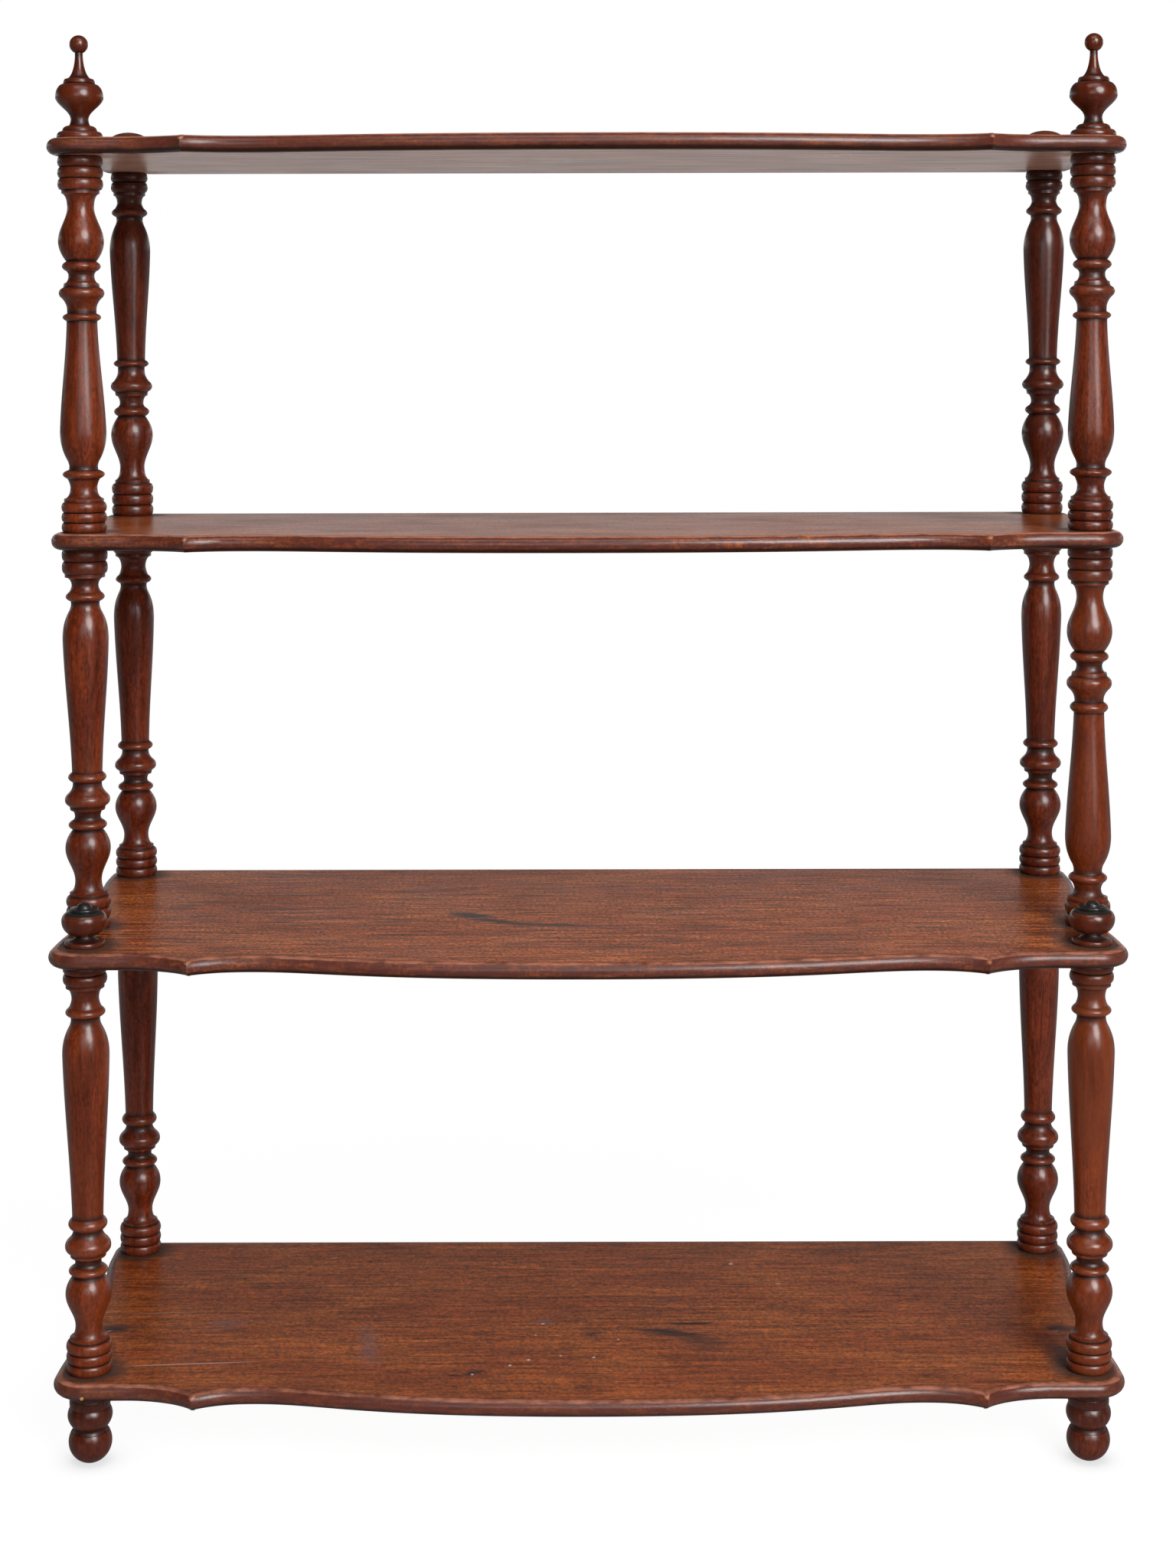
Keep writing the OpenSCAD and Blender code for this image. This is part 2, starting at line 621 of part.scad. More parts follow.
module foot(x, y) {
    ball_end_d = (foot_waist_d + foot_ball_d) / 2;
    ball = orb(foot_flat_d, ball_end_d, foot_ball_d);
    collar = (foot_h - ball[1] - foot_cove_h - foot_bead_h) / 2;
    steps = [
        ball, line(0, ball_end_d - 1.8), fade(foot_cove_h, foot_waist_d),
        fade(0.6 * foot_bead_h, foot_bead_d, 2), swell(0.4 * foot_bead_h, foot_groove_d, 2.1),
        bead(collar, foot_collar_d - 0.8), bead(collar, foot_collar_d)];
    color(wood_colour) translate([x, y, 0]) difference() {
        lathe(steps, foot_flat_d);
        socket(foot_h, socket_depth, -1);
    }
}

// A dowel through a shelf, given how deep the sockets below and above it are
module dowel(z, below, above) {
    color(dowel_colour) translate([0, 0, z - below])
        cylinder(h = below + shelf_t + above, d = dowel_d, $fn = 48);
}
dowel_reach = socket_depth - dowel_end_gap;
small_reach = small_socket_depth - dowel_end_gap;
module top_dowels() {
    both_sides(upper_front_place) dowel(top_z, dowel_reach, small_reach);
    both_sides(back_place) dowel(top_z, dowel_reach, small_reach);
}
module second_dowels() {
    both_sides(upper_front_place) dowel(second_z, dowel_reach, dowel_reach);
    both_sides(back_place) dowel(second_z, dowel_reach, dowel_reach);
}
// Under the middle front posts the dowels end flush with the underside of the shelf
module third_dowels() {
    both_sides(upper_front_place) dowel(third_z, 0, dowel_reach);
    both_sides(lower_front_place) dowel(third_z, dowel_reach, small_reach);
    both_sides(back_place) dowel(third_z, dowel_reach, dowel_reach);
}
module bottom_dowels() {
    difference() {
        both_sides(lower_front_place) dowel(bottom_z, dowel_reach, dowel_reach);
        pin_place() pin_bore();
    }
    both_sides(back_place) dowel(bottom_z, dowel_reach, dowel_reach);
}

// The brass pin goes through the front edge of the bottom shelf into the left dowel. It
// lies below the middle of the edge, and its head is sunk level with the rounded surface.
pin_z = 0.3 * shelf_t;
pin_head_h = 1.4;
pin_dome_h = 0.5;
corner_run = max(0, low_front_x - (low_tip_x - front_corner_r));
edge_drop = front_corner_r - sqrt(pow(front_corner_r, 2) - pow(corner_run, 2));
edge_inset = shelf_t / 2 - sqrt(pow(shelf_t / 2, 2) - pow(shelf_t / 2 - pin_z, 2));
pin_front_y = low_front_y - lobe_reach + edge_drop + edge_inset;
pin_l = low_front_y - dowel_d / 2 + pin_bite - pin_front_y;
// Lays what is drawn along +Z onto the pin's line, from the face of the edge inwards
module pin_place() {
    translate([-low_front_x, pin_front_y, bottom_z + pin_z]) rotate([-90, 0, 0]) children();
}
module pin_bore() {
    cylinder(h = pin_l + dowel_end_gap, d = pin_d + 2 * pin_fit, $fn = 32);
    translate([0, 0, -3]) cylinder(h = 3 + pin_head_h, d = pin_head_d + 2 * pin_fit, $fn = 32);
}
module locking_pin() {
    color(brass_colour) pin_place() {
        cylinder(h = pin_l, d = pin_d, $fn = 32);
        translate([0, 0, -pin_dome_h]) lathe([
            settle(pin_dome_h, pin_head_d), line(pin_head_h, pin_head_d)], pin_head_d / 2);
    }
}

top_shelf();
second_shelf();
third_shelf();
bottom_shelf();
upper_front_post(-1);  // upper_front_left_post
upper_front_post(1);  // upper_front_right_post
upper_back_post(-1);  // upper_back_left_post
upper_back_post(1);  // upper_back_right_post
middle_front_post(-1);  // middle_front_left_post
middle_front_post(1);  // middle_front_right_post
middle_back_post(-1);  // middle_back_left_post
middle_back_post(1);  // middle_back_right_post
lower_front_post(-1);  // lower_front_left_post
lower_front_post(1);  // lower_front_right_post
lower_back_post(-1);  // lower_back_left_post
lower_back_post(1);  // lower_back_right_post
finial(-1);  // finial_left
finial(1);  // finial_right
back_cap(-1);  // back_cap_left
back_cap(1);  // back_cap_right
knob(-1);  // knob_left
knob(1);  // knob_right
foot(-low_front_x, low_front_y);  // front_left_foot
foot(low_front_x, low_front_y);  // front_right_foot
foot(-back_x, back_y);  // back_left_foot
foot(back_x, back_y);  // back_right_foot
top_dowels();
second_dowels();
third_dowels();
bottom_dowels();
locking_pin();
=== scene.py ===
import math

import bmesh
import bpy
import numpy as np
from mathutils import Matrix, Vector
from mathutils.geometry import delaunay_2d_cdt


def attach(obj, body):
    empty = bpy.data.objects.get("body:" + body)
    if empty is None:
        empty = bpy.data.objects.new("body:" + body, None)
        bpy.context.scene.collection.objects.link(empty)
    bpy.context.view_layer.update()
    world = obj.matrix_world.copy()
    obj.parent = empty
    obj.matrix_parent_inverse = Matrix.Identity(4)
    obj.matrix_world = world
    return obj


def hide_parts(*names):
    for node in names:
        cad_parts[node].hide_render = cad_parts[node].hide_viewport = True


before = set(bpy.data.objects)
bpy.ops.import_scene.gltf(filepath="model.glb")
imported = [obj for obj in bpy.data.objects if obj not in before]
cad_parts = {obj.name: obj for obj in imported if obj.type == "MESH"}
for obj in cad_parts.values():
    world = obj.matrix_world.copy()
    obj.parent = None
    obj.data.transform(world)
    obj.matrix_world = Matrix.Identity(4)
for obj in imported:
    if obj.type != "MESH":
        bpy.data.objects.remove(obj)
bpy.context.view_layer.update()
scene = bpy.context.scene
mm = 0.001
print("frame: loaded", len(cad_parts), "nodes")

# Camera: a little above the second shelf, straight in front, tipped down slightly
cameraView = {
    "place": (0.00071, -2.2677, 0.9688),
    "tiltDown": 0.048,        # radians
    "roll": 0.0022,
    "lens": 57.8,             # on 36 mm of height
    "shiftUp": -0.204,        # the optical axis lies above the middle of the picture
}


def makeCamera(view):
    data = bpy.data.cameras.new("photoCamera")
    data.sensor_width = 36.0
    data.lens = view["lens"]
    data.shift_y = view["shiftUp"]
    data.clip_start, data.clip_end = 0.05, 100.0
    camera = bpy.data.objects.new("photoCamera", data)
    scene.collection.objects.link(camera)
    camera.matrix_world = (Matrix.Translation(view["place"])
                           @ Matrix.Rotation(math.pi / 2 - view["tiltDown"], 4, "X")
                           @ Matrix.Rotation(-view["roll"], 4, "Z"))
    scene.camera = camera


makeCamera(cameraView)
scene.view_settings.view_transform = "Standard"
print("camera: set")


# Short ways to write nodes. A value's key is its socket's name or number
def addNode(tree, kind, values=None, **settings):
    made = tree.nodes.new(kind)
    for key, value in settings.items():
        setattr(made, key, value)
    for key, value in (values or {}).items():
        feed(tree, made.inputs[key], value)
    return made


def feed(tree, socket, value):
    if isinstance(value, bpy.types.NodeSocket):
        tree.links.new(value, socket)
    elif value is not None:
        socket.default_value = value


def maths(tree, operation, a, b=None, c=None, clamp=False):
    return addNode(tree, "ShaderNodeMath", {0: a, 1: b, 2: c}, operation=operation,
                   use_clamp=clamp).outputs[0]


def product(tree, a, b):
    return maths(tree, "MULTIPLY", a, b)


def summed(tree, start, parts, shares):
    # Adds each named part, times its share, to the start
    for name, share in shares.items():
        start = maths(tree, "MULTIPLY_ADD", parts[name], share, start)
    return start


def vectorMaths(tree, operation, a, b=None):
    made = addNode(tree, "ShaderNodeVectorMath", {0: a, 1: b}, operation=operation)
    return made.outputs["Value" if operation in ("LENGTH", "DISTANCE") else "Vector"]


def axesOf(tree, vector):
    return addNode(tree, "ShaderNodeSeparateXYZ", {"Vector": vector}).outputs


def ramp(tree, value, low, high, toLow=0.0, toHigh=1.0):
    made = addNode(tree, "ShaderNodeMapRange", {
        "Value": value, "From Min": low, "From Max": high,
        "To Min": toLow, "To Max": toHigh}, interpolation_type="SMOOTHSTEP")
    return made.outputs["Result"]


def blendColour(tree, factor, a, b, mode="MIX"):
    a, b = ((*colour, 1.0) if isinstance(colour, tuple) else colour for colour in (a, b))
    return addNode(tree, "ShaderNodeMix", {0: factor, 6: a, 7: b}, data_type="RGBA",
                   blend_type=mode).outputs[2]


def cover(tree, colour, paint, mask, strength=None):
    factor = mask if strength is None else product(tree, mask, strength)
    return blendColour(tree, factor, colour, paint)


def shaded(tree, colour, shade):
    grey = addNode(tree, "ShaderNodeCombineColor", {"Red": shade, "Green": shade, "Blue": shade})
    return blendColour(tree, 1.0, colour, grey.outputs[0], "MULTIPLY")


def noise(tree, where, stretch, detail, rough, warp=0.0, output="Fac"):
    return addNode(tree, "ShaderNodeTexNoise", {
        "Vector": vectorMaths(tree, "MULTIPLY", where, stretch), "Scale": 1.0,
        "Detail": detail, "Roughness": rough, "Distortion": warp}).outputs[output]


def shifted(tree, where, stretch, reach):
    push = noise(tree, where, stretch, 3.0, 0.5, output="Color")
    return vectorMaths(tree, "ADD", where, vectorMaths(tree, "MULTIPLY", push, reach))


def attribute(tree, name):
    return addNode(tree, "ShaderNodeAttribute", attribute_name=name).outputs["Fac"]


def objectPlace(tree):
    return addNode(tree, "ShaderNodeTexCoord").outputs["Object"]


def rayKinds(tree):
    # Rays that the eye sees, straight or through something clear, rays in gloss, and both
    rays = addNode(tree, "ShaderNodeLightPath").outputs
    eye = maths(tree, "MAXIMUM", rays["Is Camera Ray"], rays["Is Transmission Ray"])
    gloss = rays["Is Glossy Ray"]
    return eye, gloss, maths(tree, "MAXIMUM", eye, gloss)


def bumped(tree, height, strength, depth):
    return addNode(tree, "ShaderNodeBump", {
        "Strength": strength, "Distance": depth, "Height": height}).outputs["Normal"]


def mixShader(tree, factor, a, b):
    return addNode(tree, "ShaderNodeMixShader", {0: factor, 1: a, 2: b}).outputs[0]


def newMaterial(name):
    made = bpy.data.materials.new(name)
    made.use_nodes = True
    made.node_tree.nodes.clear()
    return made, made.node_tree


def closeMaterial(tree, values):
    shader = addNode(tree, "ShaderNodeBsdfPrincipled", values).outputs["BSDF"]
    addNode(tree, "ShaderNodeOutputMaterial", {"Surface": shader})


# Studio: a bright backdrop, a large soft lamp high in front and to the right, a weaker one
# overhead, two tall windows behind the camera that give the gloss its sheen, and a weak fill
# behind the stand. Each lamp has its place, aim, size and power, and whether gloss sees it
aim, windowAim = (0.0, 0.0, 0.62), (0.0, 0.0, 0.95)
lamps = {
    "keyLamp": ((2.0, -3.8, 3.1), aim, 2.8, 205.0, True),
    "topLamp": ((0.2, -1.3, 3.4), aim, (2.4, 1.3), 19.0, True),
    "rightWindow": ((1.75, -2.8, 1.35), windowAim, (1.1, 1.8), 16.0, True),
    "leftWindow": ((-0.35, -3.2, 1.5), windowAim, (1.5, 1.5), 11.0, True),
    "backFill": ((0.9, 3.6, 0.7), aim, 2.0, 70.0, False),
}
studio = {
    "ambient": 0.1,
    # What gloss sees: a band of the backdrop above the floor, over and under that band, below
    # the floor's far end, on the camera's side, and of the floor behind the stand
    "bandGloss": 1.0, "lowGloss": 0.07, "belowGloss": 0.9, "roomSide": 0.05,
    "floorGloss": 0.25,
    # Where the band starts and ends, where the floor's far end lies, and where the backdrop
    # darkens to the front, as parts of a ray's direction
    "bandRise": (0.045, 0.072), "bandFall": (0.1, 0.27), "floorEnd": (-0.075, -0.045),
    "frontFade": (-0.1, 0.6),
    # The floor: its depths where gloss dims, and its distances where the paint and the light
    # that it throws back give way to a plain glow
    "floorHalf": 14.0, "floorDrop": 0.0002,
    "frontDim": (-0.9, 0.35), "farDim": (4.0, 9.0),
    "paintFade": (0.5, 1.05), "bounceFade": (1.3, 2.8),
    "floorGlow": 0.955, "floorPaint": 0.1, "floorBounce": 0.9, "farBounce": 0.35,
    "contactReach": 0.055, "contactSpan": (0.35, 0.97), "contactDark": 0.74,
}


def makeWorld(s):
    world = bpy.data.worlds.new("studio")
    world.use_nodes = True
    scene.world = world
    tree = world.node_tree
    tree.nodes.clear()
    eyeRay, _, seen = rayKinds(tree)
    # The backdrop is white all round for the eye; in gloss it darkens above and in front
    direction = axesOf(tree, addNode(tree, "ShaderNodeTexCoord").outputs["Generated"])
    band = product(tree, ramp(tree, direction["Z"], *s["bandRise"]),
                   ramp(tree, direction["Z"], *s["bandFall"], 1.0, 0.0))
    low = ramp(tree, direction["Z"], *s["floorEnd"], s["belowGloss"], s["lowGloss"])
    above = maths(tree, "MULTIPLY_ADD", band, s["bandGloss"] - s["lowGloss"], low)
    front = ramp(tree, direction["Y"], *s["frontFade"], s["roomSide"], 1.0)
    white = maths(tree, "MAXIMUM", eyeRay, product(tree, above, front))

    def background(colour, strength):
        return addNode(tree, "ShaderNodeBackground", {
            "Color": colour, "Strength": strength}).outputs[0]

    ambient = background((1.0, 1.0, 1.0, 1.0), s["ambient"])
    addNode(tree, "ShaderNodeOutputWorld", {
        "Surface": mixShader(tree, seen, ambient, background(white, 1.0))})


def makeLamp(name, place, aim, size, power, inGloss):
    data = bpy.data.lights.new(name, "AREA")
    data.energy = power
    if isinstance(size, tuple):
        data.shape, data.size, data.size_y = "RECTANGLE", *size
    else:
        data.shape, data.size = "DISK", size
    lamp = bpy.data.objects.new(name, data)
    scene.collection.objects.link(lamp)
    lamp.location = place
    lamp.rotation_euler = (Vector(aim) - Vector(place)).to_track_quat("-Z", "Y").to_euler()
    lamp.visible_camera = False
    lamp.visible_glossy = inGloss


def makeFloor(s):
    half, drop = s["floorHalf"], s["floorDrop"]
    mesh = bpy.data.meshes.new("floor")
    mesh.from_pydata([(-half, -half, -drop), (half, -half, -drop), (half, half, -drop),
                      (-half, half, -drop)], [], [(0, 1, 2, 3)])
    floor = bpy.data.objects.new("floor", mesh)
    scene.collection.objects.link(floor)
    material, tree = newMaterial("paleFloor")
    _, glossRay, seen = rayKinds(tree)
    where = objectPlace(tree)
    fromMiddle = vectorMaths(tree, "LENGTH", where)
    # In gloss the floor dims towards the camera's side of the room, as the backdrop does
    depth = axesOf(tree, where)["Y"]
    dim = maths(tree, "SUBTRACT", ramp(
        tree, depth, *s["frontDim"], 1.0 - s["roomSide"], 1.0 - s["floorGloss"]),
        ramp(tree, depth, *s["farDim"], 0.0, s["belowGloss"] - s["floorGloss"]))
    # Small dark contact shadows where the feet stand
    around = addNode(tree, "ShaderNodeAmbientOcclusion", {
        "Distance": s["contactReach"]}, samples=12).outputs["AO"]
    contact = ramp(tree, around, *s["contactSpan"], s["contactDark"], 1.0)

    def glowing(strength):
        return addNode(tree, "ShaderNodeEmission", {
            "Color": (1.0, 1.0, 1.0, 1.0), "Strength": strength}).outputs[0]

    def painted(colour):
        return addNode(tree, "ShaderNodeBsdfDiffuse", {"Color": colour}).outputs[0]

    near = addNode(tree, "ShaderNodeAddShader", {
        0: glowing(product(tree, contact, s["floorGlow"])),
        1: painted((s["floorPaint"],) * 3 + (1.0,))}).outputs[0]
    lit = mixShader(tree, ramp(tree, fromMiddle, *s["paintFade"]), near, glowing(1.0))
    shown = mixShader(tree, product(tree, glossRay, dim), lit, glowing(0.0))
    bounce = painted(ramp(tree, fromMiddle, *s["bounceFade"], s["floorBounce"],
                          s["farBounce"]))
    addNode(tree, "ShaderNodeOutputMaterial", {"Surface": mixShader(tree, seen, bounce, shown)})
    mesh.materials.append(material)


makeWorld(studio)
for name, lamp in lamps.items():
    makeLamp(name, *lamp)
makeFloor(studio)
print("studio: lamps, backdrop and floor")

# Polished mahogany. A wood has its colours, the stretch of each noise along x, y and z, the
# span of each mask (and its values at both ends where they aren't 0 and 1), and strengths
turnedWood = {
    "dark": (0.027, 0.0042, 0.0018), "middle": (0.1, 0.0145, 0.0042),
    "light": (0.171, 0.0268, 0.006), "tawny": (0.215, 0.043, 0.0082),
    # Two colours here paint shade: the darkening colour is painted shade and darker polish, and
    # the hollows' colour is dirt and painted shade
    "shadeAndDarkPolish": (0.026, 0.0064, 0.004), "dirtAndShade": (0.018, 0.005, 0.0032),
    "crestWorn": (0.225, 0.06, 0.026), "tipDark": (0.012, 0.015, 0.014),
    "figure": (26.0, 26.0, 7.0), "bands": (150.0, 150.0, 5.0),
    "streaks": (430.0, 430.0, 18.0), "mottle": (420.0, 420.0, 230.0),
    "pores": (900.0, 900.0, 120.0), "patches": (28.0, 28.0, 11.0),
    "raggedEdge": (170.0, 170.0, 60.0),
    "tawnySpan": (0.3, 0.7, 0.35, 1.0), "dirtAndShadeSpan": (0.38, 0.84),
    "paleSpan": (0.16, 0.46), "shadeAndDarkPolishSpan": (0.35, 0.65, 1.0, 0.8), "tipSpan": (0.62, 1.05),
    "bandMix": 0.5, "streakShade": 1.1, "mottleShade": 1.0, "poreMix": 0.6, "drift": 0.03,
    "dirtAndShadeMix": 0.92, "paleMix": 0.3, "tipMix": 0.94, "ragged": 0.5,
    "gloss": 0.19, "roughShares": {"patches": 0.24, "dirtAndShade": 0.2},
    "relief": 0.16, "reliefDepth": 0.0003,
    "reliefShares": {"streaks": 0.5, "pores": -0.4, "raggedEdge": 0.5},
    "varnish": {"IOR": 1.48, "Coat Weight": 0.22, "Coat Roughness": 0.16},
}
# The finials, caps and knobs are smoother and glossier than the posts
finialFinish = dict(turnedWood, bandMix=0.25, streakShade=0.6, mottleShade=0.25,
                    poreMix=0.2, relief=0.02, gloss=0.14)
# Board wood: grain along the width
boardWood = {
    "dark": (0.086, 0.017, 0.0044), "middle": (0.228, 0.049, 0.009),
    "light": (0.292, 0.076, 0.0145), "fleck": (0.42, 0.125, 0.023),
    # Some colours paint light: the underside's pale grey is partly a painted reflection, the
    # pale worn colour is also a painted sheen along the arris, the lip's colour is painted
    # shade, and the grey dirt colour also paints contact shade at the post bases
    "edge": (0.09, 0.025, 0.019), "under": (0.465, 0.252, 0.18),
    "dirtAndShade": (0.046, 0.029, 0.022), "worn": (0.52, 0.205, 0.125),
    "lipShade": (0.016, 0.006, 0.004),
    "figure": (7.0, 22.0, 22.0), "bands": (8.0, 90.0, 90.0),
    "streaks": (16.0, 260.0, 260.0), "mottle": (330.0, 270.0, 270.0),
    "pores": (110.0, 560.0, 560.0), "fleckGrain": (70.0, 380.0, 380.0),
    "blotch": (11.0, 16.0, 16.0), "raggedRing": (90.0, 190.0, 90.0),
    "edgeMottle": (55.0, 55.0, 190.0), "paleBreakup": (75.0, 75.0, 300.0), "lines": (9.0, 120.0, 120.0),
    "fleckSpan": (0.6, 0.74), "blotchSpan": (0.5, 0.8, 0.0, 0.4),
    "ringSpan": (0.0125, 0.034, 0.88, 0.0), "edgeSpan": (0.34, 0.66, 0.72, 0.97),
    "paleSpan": (0.46, 0.9), "lipShadeSpan": (0.35, 1.05),
    "bandMix": 0.38, "streakShade": 1.45, "mottleShade": 1.5, "poreMix": 0.6,
    "drift": 0.012, "fleckMix": 0.46, "ringRagged": -0.014, "paleMix": 0.9,
    "underMix": 0.88, "underLines": (4.0, -1.0), "lipShadeMix": 0.88, "lipShadeRagged": 0.4,
    "gloss": 0.27, "roughShares": {"blotch": 0.2, "under": -0.06, "edge": -0.08, "ring": 0.25},
    "relief": 0.3, "reliefDepth": 0.0004,
    "reliefShares": {"mottle": 0.6, "pores": -0.6, "streaks": 0.8},
    "varnish": {"IOR": 1.46, "Coat Weight": 0.1, "Coat Roughness": 0.2},
}
# The two middle boards are paler, with a stronger grain, and the upper of them is glossier
paleBoardWood = dict(boardWood, bandMix=0.5, streakShade=2.1, mottleShade=2.2,
                     poreMix=0.8, gloss=0.3)
glossyBoardWood = dict(paleBoardWood, gloss=0.22)
# Detail and roughness of each noise, and how far the figure warps itself
noiseKinds = {
    "figure": (3.0, 0.55, 0.6), "bands": (4.0, 0.6), "streaks": (4.0, 0.65),
    "mottle": (3.0, 0.7), "pores": (1.0, 0.5), "patches": (3.0, 0.6), "raggedEdge": (4.0, 0.65),
    "fleckGrain": (2.0, 0.5), "blotch": (4.0, 0.6), "raggedRing": (4.0, 0.65),
    "edgeMottle": (4.0, 0.65), "paleBreakup": (3.0, 0.6), "lines": (4.0, 0.7),
}
grainSpans = {"figure": (0.34, 0.68), "bands": (0.46, 0.72), "pores": (0.58, 0.7)}
driftStretch, leastShade = (4.0, 4.0, 4.0), 0.04


def woodNoise(tree, where, wood, name):
    return noise(tree, where, wood[name], *noiseKinds[name])


def woodColour(tree, where, wood, tone=1.0):
    # Slow drift of the grain, then patches, bands, streaks, mottling and short dark pores
    bent = shifted(tree, where, driftStretch, (wood["drift"],) * 3)
    figure = ramp(tree, woodNoise(tree, bent, wood, "figure"), *grainSpans["figure"])
    bands = ramp(tree, woodNoise(tree, bent, wood, "bands"), *grainSpans["bands"])
    streaks = woodNoise(tree, bent, wood, "streaks")
    mottle = woodNoise(tree, where, wood, "mottle")
    pores = ramp(tree, woodNoise(tree, where, wood, "pores"), *grainSpans["pores"])
    colour = blendColour(tree, figure, wood["middle"], wood["light"])
    colour = cover(tree, colour, wood["dark"], bands, wood["bandMix"])
    shade = maths(tree, "MULTIPLY_ADD", streaks, 2.0 * wood["streakShade"] * tone,
                  (1.0 - wood["streakShade"]) * tone)
    fine = maths(tree, "MULTIPLY_ADD", mottle, 2.0 * wood["mottleShade"],
                 1.0 - wood["mottleShade"])
    colour = shaded(tree, colour, maths(tree, "MAXIMUM", product(tree, shade, fine),
                                        leastShade))
    colour = cover(tree, colour, wood["dark"], pores, wood["poreMix"])
    return colour, {"streaks": streaks, "mottle": mottle, "pores": pores}


def closeWood(tree, wood, colour, parts):
    relief = summed(tree, 0.0, parts, wood["reliefShares"])
    closeMaterial(tree, {
        "Base Color": colour, "Roughness": summed(tree, wood["gloss"], parts,
                                                  wood["roughShares"]),
        "Normal": bumped(tree, relief, wood["relief"], wood["reliefDepth"]),
        **wood["varnish"]})


def makeTurnedMaterial(name, wood):
    material, tree = newMaterial(name)
    where = objectPlace(tree)
    colour, grain = woodColour(tree, where, wood)
    patches = woodNoise(tree, where, wood, "patches")
    raggedEdge = woodNoise(tree, where, wood, "raggedEdge")

    def raggedMask(key, span):
        return ramp(tree, maths(tree, "MULTIPLY_ADD", raggedEdge, wood["ragged"],
                                attribute(tree, key)), *span)

    tawny = product(tree, attribute(tree, "tone"), ramp(tree, patches, *wood["tawnySpan"]))
    # Dirt and painted shade in the hollows and in the grooves between the beads
    dirtAndShade = raggedMask("hollow", wood["dirtAndShadeSpan"])
    paled = ramp(tree, product(tree, attribute(tree, "crest"), patches), *wood["paleSpan"])
    # Painted shade near the upper ends of the posts and feet, under the board above, and over
    # the upper back and right-hand posts; darker polish on the finials, caps, knobs and feet
    shadeAndDarkPolish = product(tree, attribute(tree, "shadeAndDarkPolish"), ramp(tree, raggedEdge, *wood["shadeAndDarkPolishSpan"]))
    tip = raggedMask("tip", wood["tipSpan"])
    for paint, mask, strength in (
            ("tawny", tawny, None), ("dirtAndShade", dirtAndShade, wood["dirtAndShadeMix"]),
            ("crestWorn", paled, wood["paleMix"]), ("shadeAndDarkPolish", shadeAndDarkPolish, None),
            ("tipDark", tip, wood["tipMix"])):
        colour = cover(tree, colour, wood[paint], mask, strength)
    closeWood(tree, wood, colour, dict(grain, patches=patches, dirtAndShade=dirtAndShade, raggedEdge=raggedEdge))
    return material


def spot(tree, where, place, halfLong, halfWide, turn, strength, core):
    moved = vectorMaths(tree, "SUBTRACT", where, (place[0] * mm, place[1] * mm, 0.0))
    turned = addNode(tree, "ShaderNodeVectorRotate", {
        "Vector": moved, "Angle": math.radians(-turn)}, rotation_type="Z_AXIS").outputs[0]
    scaled = vectorMaths(tree, "MULTIPLY", turned,
                         (1 / (halfLong * mm), 1 / (halfWide * mm), 0.0))
    return ramp(tree, vectorMaths(tree, "LENGTH", scaled), core, 1.0, strength, 0.0)


# How far along the plank a board's wood lies, per metre of its height, and how the outlines
# of soft marks are pushed about
plankShift = (7.3, 3.1, 0.0)
smear = {"stretch": (36.0, 380.0, 60.0), "reach": (0.044, 0.007, 0.0)}


